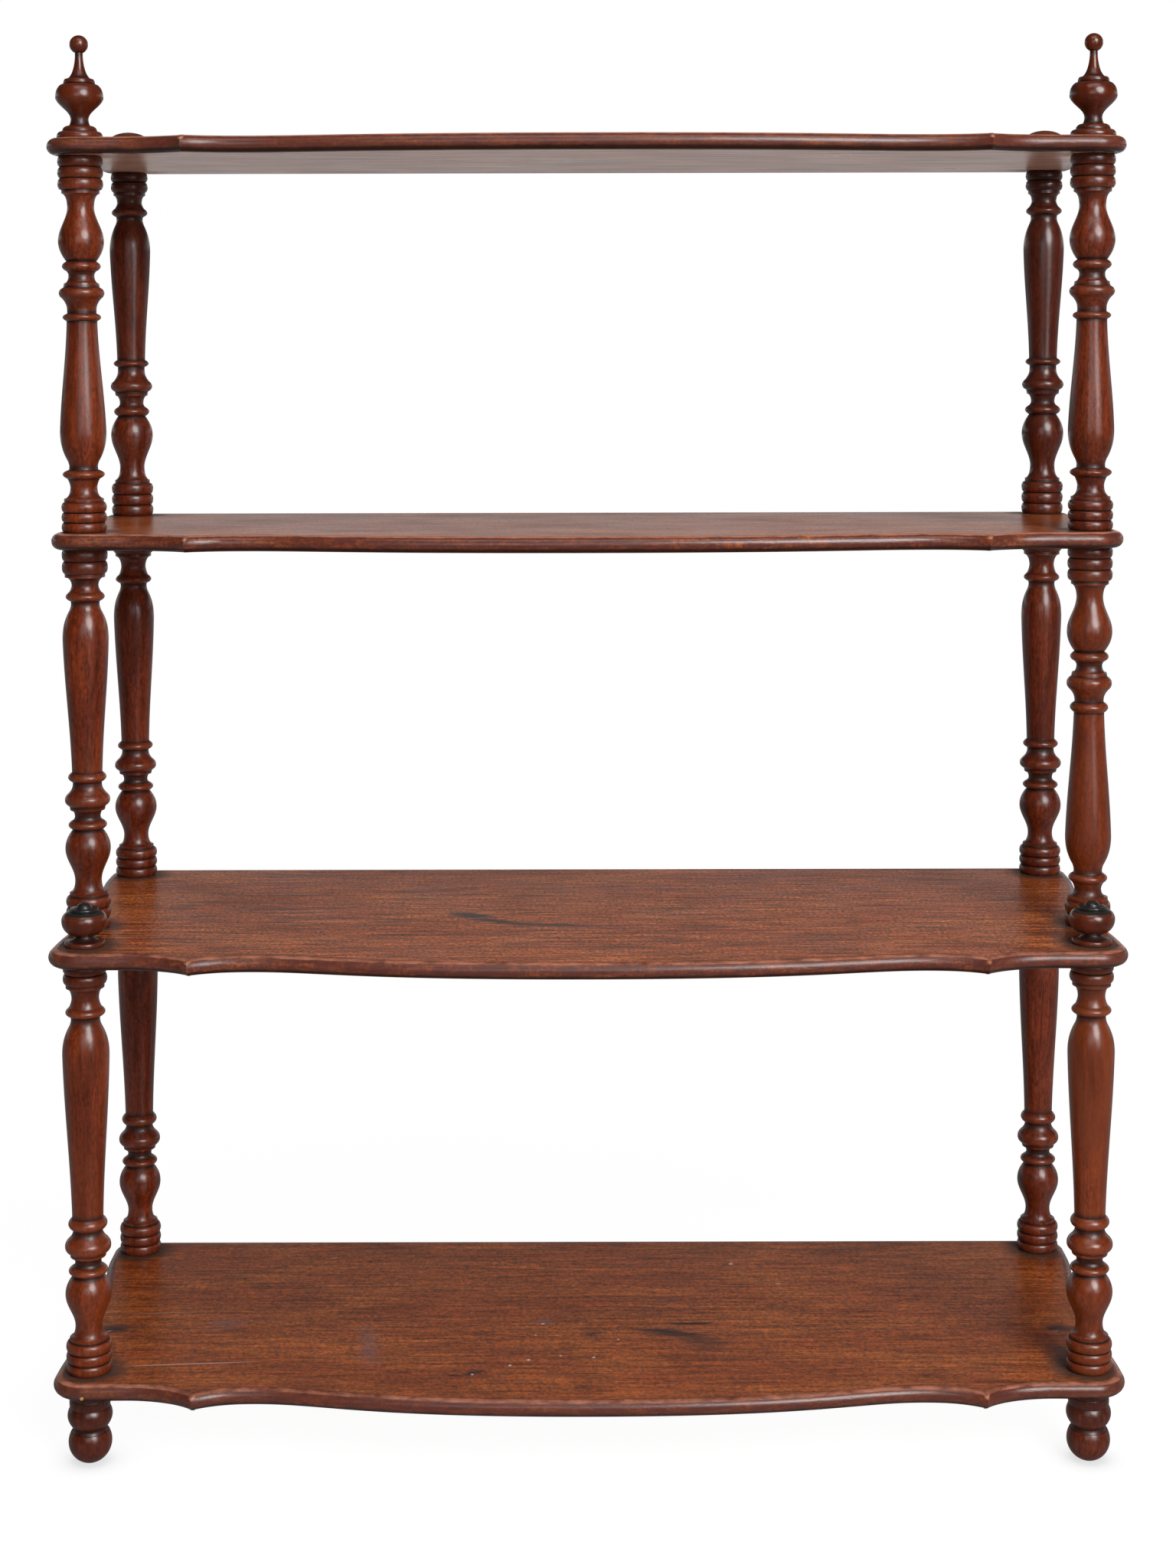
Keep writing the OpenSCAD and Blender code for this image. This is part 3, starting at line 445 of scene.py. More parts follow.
def makeBoardMaterial(name, wood, tone, marks, topZ, postPlaces):
    material, tree = newMaterial(name)
    where = objectPlace(tree)
    own = vectorMaths(tree, "ADD", where, tuple(topZ * share for share in plankShift))
    colour, grain = woodColour(tree, own, wood, tone)
    flecks = ramp(tree, woodNoise(tree, own, wood, "fleckGrain"), *wood["fleckSpan"])
    colour = cover(tree, colour, wood["fleck"], flecks, wood["fleckMix"])
    blotch = woodNoise(tree, own, wood, "blotch")
    colour = cover(tree, colour, wood["dark"], ramp(tree, blotch, *wood["blotchSpan"]))
    pushed = vectorMaths(tree, "SUBTRACT", shifted(tree, where, **smear),
                         tuple(reach / 2 for reach in smear["reach"]))
    for kindName, *shape in marks:
        kind = markKinds[kindName]
        mask = spot(tree, where if "sharp" in kind else pushed, *shape)
        colour = cover(tree, colour, kind["colour"], mask)
    # Grey dirt against the post bases and trims, which also stands in as painted contact shade
    raggedRing = woodNoise(tree, own, wood, "raggedRing")
    axes = axesOf(tree, where)
    mirrored = addNode(tree, "ShaderNodeCombineXYZ", {
        "X": maths(tree, "ABSOLUTE", axes["X"]), "Y": axes["Y"]}).outputs[0]
    ring = 0.0
    for x, y in postPlaces:
        away = vectorMaths(tree, "DISTANCE", mirrored, (x * mm, y * mm, 0.0))
        away = maths(tree, "MULTIPLY_ADD", raggedRing, wood["ringRagged"], away)
        ring = maths(tree, "MAXIMUM", ring, ramp(tree, away, *wood["ringSpan"]))
    flat, under = attribute(tree, "flat"), attribute(tree, "under")
    ring = product(tree, ring, flat)
    colour = cover(tree, colour, wood["dirtAndShade"], ring)
    # The rounded edge is darker and mottled. It is rubbed pale at the cusps, and a painted
    # pinkish sheen runs along the front of the arris
    edge = maths(tree, "SUBTRACT", 1.0, flat, clamp=True)
    edgeMottle = woodNoise(tree, where, wood, "edgeMottle")
    colour = cover(tree, colour, wood["edge"],
                   product(tree, edge, ramp(tree, edgeMottle, *wood["edgeSpan"])))
    paleBreakup = maths(tree, "ADD", woodNoise(tree, where, wood, "paleBreakup"), 0.5)
    paled = ramp(tree, product(tree, paleBreakup, attribute(tree, "worn")), *wood["paleSpan"])
    colour = cover(tree, colour, wood["worn"], paled, wood["paleMix"])
    # The undersides are greyer, with plain lines of grain, and their pale grey is partly a
    # painted reflection
    lines = woodNoise(tree, own, wood, "lines")
    greyUnderside = shaded(tree, wood["under"], maths(tree, "MULTIPLY_ADD", lines, *wood["underLines"]))
    colour = cover(tree, colour, greyUnderside, under, wood["underMix"])
    # Painted shade: a dark line runs round the lower side of the edge, where it turns under
    lipShade = maths(tree, "MULTIPLY_ADD", edgeMottle, wood["lipShadeRagged"], attribute(tree, "lipShade"))
    colour = cover(tree, colour, wood["lipShade"], ramp(tree, lipShade, *wood["lipShadeSpan"]),
                   wood["lipShadeMix"])
    closeWood(tree, wood, colour, dict(grain, blotch=blotch, under=under, edge=edge,
                                       ring=ring))
    return material


# Places of everything, in millimetres
heights = {"bottom": 65.0, "third": 437.5, "second": 789.0, "top": 1133.5}
boardT = 14.5
lengths = {"lower": 358.0, "middle": 337.0, "upper": 330.0}
upperFront, lowerFront, backPlace = (443.5, -53.0), (433.5, -123.0), (440.5, 167.0)

# Turned pieces. Sizes in millimetres. A member goes on from where the last one ended, and is
# its kind, its rise, the diameter that it ends at, and what else its curve needs
pattern = {
    "beadD": 39.4, "grooveCut": 5.0, "filletCut": 6.4, "neckD": 23.2, "ballD": 39.6,
    "notchD": 26.0, "ringLowD": 33.6, "coveD": 22.4, "ringMidD": 39.4, "ringFootD": 33.6,
    "throatD": 25.4, "ringTopD": 33.4, "taperD": 26.6, "waistD": 24.8, "headNeckD": 23.4,
    "beadH": 9.7, "filletH": 3.2, "flareH": 11.0, "ballRise": 29.5, "ballFall": 17.5,
    "ringLowH": 8.6, "coveH": 3.2, "ringMidRise": 15.4, "ringMidFall": 14.8,
    "ringTopH": 12.0, "shoulderH": 31.0, "collarH": 6.6,
}
# Head beads, their pitch and diameter, collar diameter, collar's distance from the head
# end, stretch of the base turning, heights of the large ring's nose and the small ring, and
# diameter of the bulge
postKinds = {
    "upperFront": (3, 8.8, 39.4, 36.6, 51.0, 1.02, 9.6, 6.6, 40.2),
    "upperBack": (2, 9.4, 35.0, 34.0, 38.5, 1.06, 9.6, 6.6, 38.4),
    "middleFront": (2, 11.0, 40.0, 34.0, 42.5, 0.97, 11.4, 9.0, 40.2),
    "middleFrontTurned": (2, 11.0, 40.0, 34.0, 42.5, 1.03, 11.4, 9.0, 40.2),
    "middleBack": (2, 11.0, 39.0, 34.0, 47.5, 0.92, 11.4, 9.0, 38.4),
    "lowerFront": (2, 9.2, 37.8, 34.0, 43.0, 0.94, 13.0, 11.6, 40.2),
    "lowerBack": (2, 9.8, 38.0, 34.0, 46.0, 0.95, 13.0, 11.6, 38.4),
}
memberSteps = {"line": 1, "bead": 14, "flare": 9, "settle": 9, "sway": 22, "taper": 20,
               "swell": 12, "fade": 9, "ridge": 18, "orb": 18}
# How far across and up a plain member has come at the share t of its length, from 0 to 1
memberCurves = {
    "line": lambda t: (1, 1),
    "flare": lambda t: (1 - math.cos(math.pi * t / 2), math.sin(math.pi * t / 2)),
    "settle": lambda t: (math.sin(math.pi * t / 2), 1 - math.cos(math.pi * t / 2)),
    "sway": lambda t: ((1 - math.cos(math.pi * t)) / 2, t),
    "taper": lambda t: ((t + (1 - math.cos(math.pi * t)) / 2) / 2, t),
    "swell": lambda t, power: (t ** power, t),
    "fade": lambda t, power: (1 - (1 - t) ** power, t),
}
lathe = {"sides": 80, "socketR": 5.6, "postSocket": 22.0, "trimSocket": 9.0}
sharpAngle = math.radians(34)
# Spreads of a profile's running means, how far off them counts in full, and their steps
hollowScale = {"wide": 4.2, "hollow": 3.2, "crest": 2.0, "narrow": 1.9, "groove": 1.2,
               "grooveShare": 0.95, "step": 0.25, "halfSteps": 48}
tipBlend, underBoardShadeReach = 1.5, 38.0


def memberPoints(member, r, z):
    kind, rise, endD, *more = member
    dr, points, steps = endD / 2 - r, [], memberSteps[kind]
    for i in range(1, steps + 1):
        t = i / steps
        if kind == "bead":
            # It comes back to where it started
            points.append((r + dr * (0 if i == steps else math.sin(math.pi * t)),
                           z + rise * (1 - math.cos(math.pi * t)) / 2))
        elif kind == "ridge":
            (crestD, power), foot = more, r + dr * t
            points.append((foot + (crestD / 2 - foot) * (1 - abs(2 * t - 1) ** power),
                           z + rise * t))
        elif kind == "orb":
            ballD, a0, a1 = more
            a = a0 + (a1 - a0) * t
            points.append((ballD / 2 * math.cos(a),
                           z + ballD / 2 * (math.sin(a) - math.sin(a0))))
        else:
            across, up = memberCurves[kind](t, *more)
            points.append((r + dr * across, z + rise * up))
    return points


def orb(fromD, toD, d):
    a0, a1 = -math.acos(fromD / d), math.acos(toD / d)
    return ("orb", d / 2 * (math.sin(a1) - math.sin(a0)), toD, d, a0, a1)


def skinOf(members, startD):
    points = [(startD / 2, 0.0)]
    z = 0.0
    for member in members:
        points += memberPoints(member, points[-1][0], z)
        z += member[1]
    return points


def heightOf(members):
    return sum(member[1] for member in members)


def baseMembers(k, noseH, discH):
    p = pattern
    slopeH = p["ringMidRise"] - noseH / 2
    stepD = p["coveD"] + 0.42 * (p["ringMidD"] - p["coveD"])
    neckH = (p["ringTopH"] - discH) / 2
    filletD = p["beadD"] - p["filletCut"]
    return [("bead", p["beadH"] * k, p["beadD"])] * 3 + [
        ("line", 0, filletD), ("line", p["filletH"] * k, filletD),
        ("settle", p["flareH"] * k, p["neckD"]),
        ("sway", p["ballRise"] * k, p["ballD"]),
        ("swell", p["ballFall"] * k, p["notchD"], 2.1),
        ("ridge", p["ringLowH"] * k, p["coveD"] + 3, p["ringLowD"], 2.0),
        ("fade", p["coveH"] * k, p["coveD"], 1.7),
        ("flare", 0.65 * slopeH * k, stepD), ("line", 0, stepD + 0.8),
        ("line", 0.35 * slopeH * k, stepD + 2),
        ("ridge", noseH * k, p["ringFootD"], p["ringMidD"], 2.4),
        ("fade", (p["ringMidFall"] - noseH / 2) * k, p["throatD"], 2.1),
        ("line", neckH * k, p["throatD"]),
        ("ridge", discH * k, p["taperD"], p["ringTopD"], 2.0),
        ("line", neckH * k, p["taperD"])]


def headMembers(beads, pitch, headD, crestD, drop):
    p = pattern
    filletD = headD - 0.75 * p["filletCut"]
    ridgeH = 1.2 * p["collarH"]
    gap = drop - ridgeH / 2 - p["filletH"] - beads * pitch
    return [("swell", 0.83 * p["shoulderH"], p["waistD"] + 2.6, 2.3),
            ("fade", 0.17 * p["shoulderH"], p["waistD"], 1.7),
            ("flare", p["collarH"] - ridgeH / 2, p["waistD"] + 1.2),
            ("ridge", ridgeH, p["headNeckD"] + 4.6, crestD, 2.0),
            ("fade", 0.45 * gap, p["headNeckD"], 1.7),
            ("flare", 0.55 * gap, filletD),
            ("line", p["filletH"], filletD), ("line", 0, headD - p["grooveCut"])
            ] + [("bead", pitch, headD)] * beads


def postSkin(kind, length):
    beads, pitch, headD, crestD, drop, stretch, noseH, discH, bulgeD = postKinds[kind]
    base = baseMembers(stretch, noseH, discH)
    head = headMembers(beads, pitch, headD, crestD, drop)
    taper = ("taper", length - heightOf(base) - heightOf(head), bulgeD)
    return skinOf(base + [taper] + head, pattern["beadD"] - pattern["grooveCut"])


finialSkin = skinOf([
    ("settle", 1.98, 40.0), ("flare", 4.62, 32.0), ("line", 0, 30.4),
    ("flare", 5.0, 19.6), ("settle", 6.0, 15.6), ("sway", 19.0, 41.6),
    ("flare", 11.4, 26.4), ("bead", 2.64, 27.4), ("flare", 1.76, 22.8),
    ("settle", 22.6, 6.8), orb(6.8, 0.0, 16.2)], 37.0)
knobSkin = skinOf([
    ("bead", 4.23, 34.8), ("line", 0, 30.8), ("settle", 5.17, 16.6),
    ("settle", 12.6, 39.0), ("flare", 8.0, 23.6), ("bead", 2.4, 24.6),
    ("line", 0, 13.4), ("flare", 4.8, 0.0)], 32.8)
capSkin = skinOf([
    ("bead", 5.0, 39.0), ("line", 0, 33.0), ("settle", 4.6, 30.0),
    ("settle", 5.04, 38.0), ("flare", 9.36, 0.0)], 37.0)
footBall = orb(12.0, 32.7, 37.4)
footCollar = (heights["bottom"] - footBall[1] - 3.2 - 18.5) / 2
footSkin = skinOf([footBall, ("line", 0, 30.9), ("fade", 3.2, 28.0, 1.7),
                   ("fade", 11.1, 38.6, 2.0), ("swell", 7.4, 34.0, 2.1),
                   ("bead", footCollar, 35.2), ("bead", footCollar, 36.0)], 12.0)


def runningMean(r, z, spread):
    step, half = hollowScale["step"], hollowScale["halfSteps"]
    fine = np.arange(z.min(), z.max() + step, step)
    weights = np.exp(-((np.arange(-half, half + 1) * step / spread) ** 2) / 2)
    padded = np.pad(np.interp(fine, z, r), half, mode="edge")
    return np.interp(z, fine, np.convolve(padded, weights / weights.sum(), mode="valid"))


def hollowsAndCrests(skin):
    # How far the surface lies inside or outside its own running mean, from 0 to 1. A second,
    # narrower mean finds the grooves between the beads
    r, z = np.array(skin).T
    h = hollowScale
    middle = runningMean(r, z, h["wide"])
    hollow = np.clip((middle - r) / h["hollow"], 0, 1)
    groove = np.clip((runningMean(r, z, h["narrow"]) - r) / h["groove"], 0, 1)
    crest = np.clip((r - middle) / h["crest"], 0, 1)
    return np.maximum(hollow, h["grooveShare"] * groove), crest


def storeOnPoints(mesh, layers):
    for key, values in layers.items():
        layer = mesh.attributes.new(key, "FLOAT", "POINT")
        layer.data.foreach_set("value", values.astype(np.float32))


def makeLatheTree():
    tree = bpy.data.node_groups.new("turnOnLathe", "GeometryNodeTree")
    sockets = {name: tree.interface.new_socket(
        name, in_out="INPUT", socket_type="NodeSocket" + kind).identifier for name, kind in (
        ("Profile", "Geometry"), ("Sides", "Int"), ("Turn Over", "Float"),
        ("Place", "Vector"), ("Tone", "Float"), ("Sharp Angle", "Float"),
        ("Wood", "Material"))}
    tree.interface.new_socket("Piece", in_out="OUTPUT", socket_type="NodeSocketGeometry")
    given = addNode(tree, "NodeGroupInput").outputs
    count = addNode(tree, "GeometryNodeAttributeDomainSize", {
        "Geometry": given["Profile"]}, component="MESH").outputs["Point Count"]
    grid = addNode(tree, "GeometryNodeMeshGrid", {
        "Vertices X": maths(tree, "ADD", given["Sides"], 1.0), "Vertices Y": count})
    index = addNode(tree, "GeometryNodeInputIndex").outputs[0]
    along = maths(tree, "MODULO", index, count)
    column = maths(tree, "FLOOR", maths(tree, "DIVIDE", maths(tree, "ADD", index, 0.25),
                                        count))
    angle = product(tree, column, maths(tree, "DIVIDE", 2 * math.pi, given["Sides"]))

    def sampled(kind, value):
        return addNode(tree, "GeometryNodeSampleIndex", {
            "Geometry": given["Profile"], "Value": value, "Index": along},
            data_type=kind, domain="POINT").outputs["Value"]

    profile = axesOf(tree, sampled("FLOAT_VECTOR",
                                   addNode(tree, "GeometryNodeInputPosition").outputs[0]))
    place = addNode(tree, "ShaderNodeCombineXYZ", {
        "X": product(tree, profile["X"], maths(tree, "COSINE", angle)),
        "Y": product(tree, profile["X"], maths(tree, "SINE", angle)),
        "Z": profile["Z"]}).outputs[0]

    def passed(body, kind, values, **settings):
        return addNode(tree, "GeometryNode" + kind, {"Geometry": body, **values},
                       **settings).outputs[0]

    body = passed(grid.outputs["Mesh"], "SetPosition", {"Position": place})
    layers = {name: sampled("FLOAT", addNode(
        tree, "GeometryNodeInputNamedAttribute", {"Name": name},
        data_type="FLOAT").outputs[0]) for name in ("hollow", "crest", "tip", "shadeAndDarkPolish")}
    for name, value in dict(layers, tone=given["Tone"]).items():
        body = passed(body, "StoreNamedAttribute", {"Name": name, "Value": value},
                      data_type="FLOAT", domain="POINT")
    body = passed(body, "MergeByDistance", {"Distance": 1e-6})
    body = passed(body, "SetShadeSmooth", {"Shade Smooth": True}, domain="FACE")
    edgeAngle = addNode(tree, "GeometryNodeInputMeshEdgeAngle").outputs[0]
    soft = maths(tree, "LESS_THAN", edgeAngle, given["Sharp Angle"])
    body = passed(body, "SetShadeSmooth", {"Shade Smooth": soft}, domain="EDGE")
    turn = addNode(tree, "ShaderNodeCombineXYZ", {"X": given["Turn Over"]}).outputs[0]
    body = passed(body, "Transform", {"Translation": given["Place"], "Rotation": turn})
    body = passed(body, "RealizeInstances", {})
    body = passed(body, "SetMaterial", {"Material": given["Wood"]})
    addNode(tree, "NodeGroupOutput", {"Piece": body})
    return tree, sockets


latheTree, latheSockets = makeLatheTree()


def outwardVolume(mesh):
    solid = bmesh.new()
    solid.from_mesh(mesh)
    volume = solid.calc_volume(signed=True)
    solid.free()
    return volume


def finishPiece(name, mesh):
    mesh.name = name
    if outwardVolume(mesh) < 0:
        mesh.flip_normals()
    piece = bpy.data.objects.new(name, mesh)
    scene.collection.objects.link(piece)
    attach(piece, "root")
    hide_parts(name[5:])


def turnPiece(node, skin, place, wood, sockets, shadeAndDarkPolish, turnedOver=False, tone=0.0,
              tipFrom=None):
    length = skin[-1][1]
    hollow, crest = hollowsAndCrests(skin)
    r = lathe["socketR"]
    points = [(0.0, sockets[0]), (r, sockets[0]), (r, 0.0)] if sockets[0] else [(0.0, 0.0)]
    lead = len(points)
    points += skin
    if skin[-1][0] > 0.01:
        deep = length - sockets[1]
        points += [(r, length), (r, deep), (0.0, deep)] if sockets[1] else [(0.0, length)]
    else:
        points[-1] = (0.0, length)
    after = len(points) - lead - len(skin)
    source = bpy.data.meshes.new("profile")
    source.from_pydata([(p * mm, 0.0, z * mm) for p, z in points],
                       [(i, i + 1) for i in range(len(points) - 1)], [])
    levels = np.array([z for p, z in points])
    tips = np.zeros(len(points)) if tipFrom is None else np.clip(
        (levels - tipFrom) / tipBlend, 0, 1) * (np.arange(len(points)) >= lead)
    # Darkening over the whole piece (painted shade on the darker posts, darker polish on the
    # trims and feet), and more painted shade near its upper end, under the board above
    fromTop = levels if turnedOver else length - levels
    shadeAndDarkPolishLevels = np.clip(shadeAndDarkPolish[0] + shadeAndDarkPolish[1] * np.clip(1 - fromTop / underBoardShadeReach, 0, 1), 0, 1)
    storeOnPoints(source, {"hollow": np.pad(hollow, (lead, after)), "shadeAndDarkPolish": shadeAndDarkPolishLevels,
                           "crest": np.pad(crest, (lead, after)), "tip": tips})
    carrier = bpy.data.objects.new("profile", source)
    scene.collection.objects.link(carrier)
    modifier = carrier.modifiers.new("lathe", "NODES")
    modifier.node_group = latheTree
    x, y, z = place
    for key, value in (
            ("Sides", lathe["sides"]), ("Turn Over", math.pi if turnedOver else 0.0),
            ("Place", (x * mm, y * mm, (z + (length if turnedOver else 0)) * mm)),
            ("Tone", tone), ("Sharp Angle", sharpAngle), ("Wood", wood)):
        modifier[latheSockets[key]] = value
    graph = bpy.context.evaluated_depsgraph_get()
    mesh = bpy.data.meshes.new_from_object(
        carrier.evaluated_get(graph), preserve_all_data_layers=True, depsgraph=graph)
    carrier.modifiers.remove(modifier)
    bpy.data.objects.remove(carrier)
    bpy.data.meshes.remove(source)
    finishPiece("wood_" + node, mesh)


postWood = makeTurnedMaterial("polishedTurnedMahogany", turnedWood)
finialWood = makeTurnedMaterial("glossyFinialMahogany", finialFinish)

# How tawny the front posts are, how much painted shade darkens each post (the upper back posts
# under the top board, and the right-hand posts), and how much painted shade all get near their
# upper ends, under a board
postTones = {"lower_front_right": 0.58, "middle_front_right": 0.35, "upper_front_left": 0.15,
             "lower_front_left": 0.28, "middle_front_left": 0.08}
postShade = {"upper_back_left": 0.22, "upper_front_right": 0.22, "upper_back_right": 0.46,
            "middle_front_right": 0.14, "middle_back_right": 0.18, "lower_front_right": 0.06,
            "lower_back_right": 0.16}
underBoardShade = 0.62
for tier, shelf in (("upper", "second"), ("middle", "third"), ("lower", "bottom")):
    for row in ("front", "back"):
        for side, sign in (("left", -1), ("right", 1)):
            kind = tier + row.capitalize()
            over = kind == "upperFront" or (kind == "middleFront" and sign > 0)
            if kind == "middleFront" and sign > 0:
                kind = "middleFrontTurned"
            x, y = backPlace if row == "back" else lowerFront if tier == "lower" else upperFront
            post = f"{tier}_{row}_{side}"
            turnPiece(post + "_post", postSkin(kind, lengths[tier]),
                      (sign * x, y, heights[shelf] + boardT), postWood,
                      (lathe["postSocket"],) * 2, (postShade.get(post, 0.0), underBoardShade),
                      over, postTones.get(post, 0.0))
# Each trim's skin, place, board below, darkness, and the height where a dark tip starts
trims = {"finial": (finialSkin, upperFront, "top", 0.45, None),
         "back_cap": (capSkin, backPlace, "top", 0.25, None),
         "knob": (knobSkin, lowerFront, "third", 0.5, 27.0)}
# The feet: darker polish all over, and painted shade near their tops, under the bottom board
footShadeAndDarkPolish = (0.35, 0.45)
for side, sign in (("left", -1), ("right", 1)):
    for trim, (skin, (x, y), shelf, dark, tipFrom) in trims.items():
        turnPiece(f"{trim}_{side}", skin, (sign * x, y, heights[shelf] + boardT), finialWood,
                  (lathe["trimSocket"], 0.0), (dark, 0.0), tipFrom=tipFrom)
    for row, (x, y) in (("front", lowerFront), ("back", backPlace)):
        turnPiece(f"{row}_{side}_foot", footSkin, (sign * x, y, 0.0), postWood,
                  (0.0, lathe["postSocket"]), footShadeAndDarkPolish)
print("turned pieces: posts, finials, caps, knobs and feet")

# Boards: serpentine front, hollow sides, fully rounded edge. Sizes in millimetres
board = {
    "bowReach": 70.0, "cuspReach": 56.0, "hollowReach": 43.0, "lobeReach": 36.0,
    "cuspInset": 96.0, "hollowInset": 52.0, "frontR": 30.0, "backR": 20.0,
    "sideHollow": 9.0, "backTipX": 467.5, "backY": 193.0,
    # Handles of the curves, as lengths or as shares of what they run along
    "bowPull": 0.68, "dipPull": (0.8, 0.4), "cuspPull": ((-16, 10), (12, 13)),
    "lobePull": (0.62, 0.38), "lobeLift": 0.5, "sidePull": 0.4, "backPull": 0.3,
    "curveSteps": 20, "edgeSteps": 10, "holeSteps": 48,
    # The flat faces: a band inside the rim, and a grid that stays clear of it and the holes
    "rimBand": 1.6, "gridStep": 11.0, "gridX": (-460, 461), "gridY": (-185, 190),
    "rimClear": 0.4, "holeClear": 10.0, "holeShare": 0.97,
}
tipX = {"upper": 471.0, "lower": 463.0}
# How strong the painted sheen along the arris is, and how far down the edge it reaches
arrisSheen = {"upper": (0.95, 1.2), "lower": (0.74, 1.9)}
# Wear at the cusps, painted sheen along the sharp arris, and painted shade along the lip:
# strengths, places and reaches
edgeMarkShape = {
    "cusp": 1.2, "cuspReach": 5.5, "cuspDrop": 2.0, "cuspTall": 3.2,
    "arrisDrop": 0.45, "arrisIn": 0.9, "frontDepth": 60.0,
    "lipTop": 5.5, "lipTall": 3.5, "lipIn": 2.5,
}


def cubic(a, b, c, d, steps):
    t = (np.arange(1, steps + 1) / steps)[:, None]
    u = 1 - t
    return (np.array(a) * u ** 3 + np.array(b) * 3 * u * u * t
            + np.array(c) * 3 * u * t * t + np.array(d) * t ** 3)


def arc(centre, r, start, end, steps):
    a = np.radians(start + (end - start) * np.arange(1, steps + 1) / steps)
    return np.stack([centre[0] + r * np.cos(a), centre[1] + r * np.sin(a)], -1)


def boardOutline(fx, fy, tip):
    b, n = board, board["curveSteps"]
    bow = np.array([0.0, fy - b["bowReach"]])
    cusp = np.array([fx - b["cuspInset"], fy - b["cuspReach"]])
    dip = np.array([cusp[0] - b["hollowInset"], fy - b["hollowReach"]])
    lobeY = fy - b["lobeReach"]
    lobe = np.array([tip - b["frontR"], lobeY])
    corner = np.array([tip, lobeY + b["frontR"]])
    backTip = np.array([b["backTipX"], b["backY"] - b["backR"]])
    backStart = np.array([b["backTipX"], backTip[1] - b["backR"]])
    side = np.array([min(tip, b["backTipX"]) - b["sideHollow"],
                     (corner[1] + backStart[1]) / 2])
    run = side[1] - corner[1]
    intoCusp, outOfCusp = b["cuspPull"]
    intoDip, outOfDip = b["dipPull"]
    towardsLobe = [(fx - share * b["cuspInset"], lobeY + b["lobeLift"])
                   for share in b["lobePull"]]
    half = np.concatenate([
        [bow],
        cubic(bow, (b["bowPull"] * dip[0], bow[1]), (intoDip * dip[0], dip[1]), dip, 2 * n),
        cubic(dip, dip + (outOfDip * b["hollowInset"], 0), cusp + intoCusp, cusp, n),
        cubic(cusp, cusp + outOfCusp, *towardsLobe, n),
        [lobe],
        arc((lobe[0], corner[1]), b["frontR"], -90, 0, n),
        cubic(corner, corner + (0, b["sidePull"] * run), side - (0, b["sidePull"] * run),
              side, n),
        cubic(side, side + (0, b["sidePull"] * run), backStart - (0, b["backPull"] * run),
              backStart, n),
        [backTip],
        arc((b["backTipX"] - b["backR"], backTip[1]), b["backR"], 0, 90, n)])
    return np.concatenate([half, half[:0:-1] * (-1, 1)]), cusp


def drawnIn(points, d):
    u = points - np.roll(points, 1, 0)
    v = np.roll(points, -1, 0) - points
    u /= np.linalg.norm(u, axis=1)[:, None]
    v /= np.linalg.norm(v, axis=1)[:, None]
    nu, nv = np.stack([-u[:, 1], u[:, 0]], -1), np.stack([-v[:, 1], v[:, 0]], -1)
    return points + (nu + nv) * d / (1 + (nu * nv).sum(1))[:, None]


def insideOf(points, ring):
    x, y = points[:, 0][:, None], points[:, 1][:, None]
    x0, y0 = ring.T
    x1, y1 = np.roll(ring, -1, 0).T
    crosses = (y0 > y) != (y1 > y)
    at = x0 + (y - y0) * (x1 - x0) / np.where(y1 == y0, 1e-12, y1 - y0)
    return (crosses & (x < at)).sum(1) % 2 == 1


def nearest(points, ring):
    return np.sqrt(((points[:, None] - ring[None]) ** 2).sum(-1)).min(1)


def clearOf(points, circle, r):
    return np.linalg.norm(points - circle.mean(0), axis=1) > r


def flatFace(rim, inner, circles):
    # Its rim, a second ring close inside it, the dowel holes and a grid, in triangles. Also
    # says which point of the face each given point has become
    b = board
    gx, gy = np.meshgrid(np.arange(*b["gridX"], b["gridStep"]),
                         np.arange(*b["gridY"], b["gridStep"]))
    grid = np.stack([gx.ravel(), gy.ravel()], -1).astype(float)
    grid = grid[insideOf(grid, inner)]
    grid = grid[nearest(grid, inner) > b["rimClear"] * b["gridStep"]]
    for circle in circles:
        grid = grid[clearOf(grid, circle, b["holeClear"])]
    loops, start = [], 0
    for loop in [rim, inner] + circles:
        loops += [(start + i, start + (i + 1) % len(loop)) for i in range(len(loop))]
        start += len(loop)
    given = np.concatenate([rim, inner] + circles + [grid])
    made = delaunay_2d_cdt([Vector(p) for p in given], loops, [], 1, 1e-5)
    points, triangles = np.array([(p.x, p.y) for p in made[0]]), np.array(made[2])
    middles = points[triangles].mean(1)
    keep = insideOf(middles, rim)
    for circle in circles:
        keep &= clearOf(middles, circle, lathe["socketR"] * b["holeShare"])
    become = {s: index for index, sources in enumerate(made[3]) for s in sources}
    return points, triangles[keep], become


def bell(distance, reach):
    return np.exp(-(distance / reach) ** 2)


def boardLayers(points, gap, cusp, sheenSize):
    # What the material asks for: flat faces, underside, worn cusps with the painted sheen along
    # the arris, and the painted shade along the lip
    w, (share, reach) = edgeMarkShape, sheenSize
    x, y, z = points.T
    fromCusp = np.hypot(np.abs(x) - cusp[0], y - cusp[1])
    cusps = (w["cusp"] * bell(fromCusp, w["cuspReach"])
             * bell(z - boardT + w["cuspDrop"], w["cuspTall"]))
    arris = bell((z - boardT) / reach + w["arrisDrop"], 1) * bell(gap, w["arrisIn"])
    front = np.clip((w["frontDepth"] - y) / w["frontDepth"], 0, 1)
    return {"flat": np.clip(gap / board["rimBand"], 0, 1), "under": (z == 0).astype(float),
            "worn": np.maximum(cusps, share * arris * front),
            "lipShade": np.clip((w["lipTop"] - z) / w["lipTall"], 0, 1) * bell(gap, w["lipIn"])}


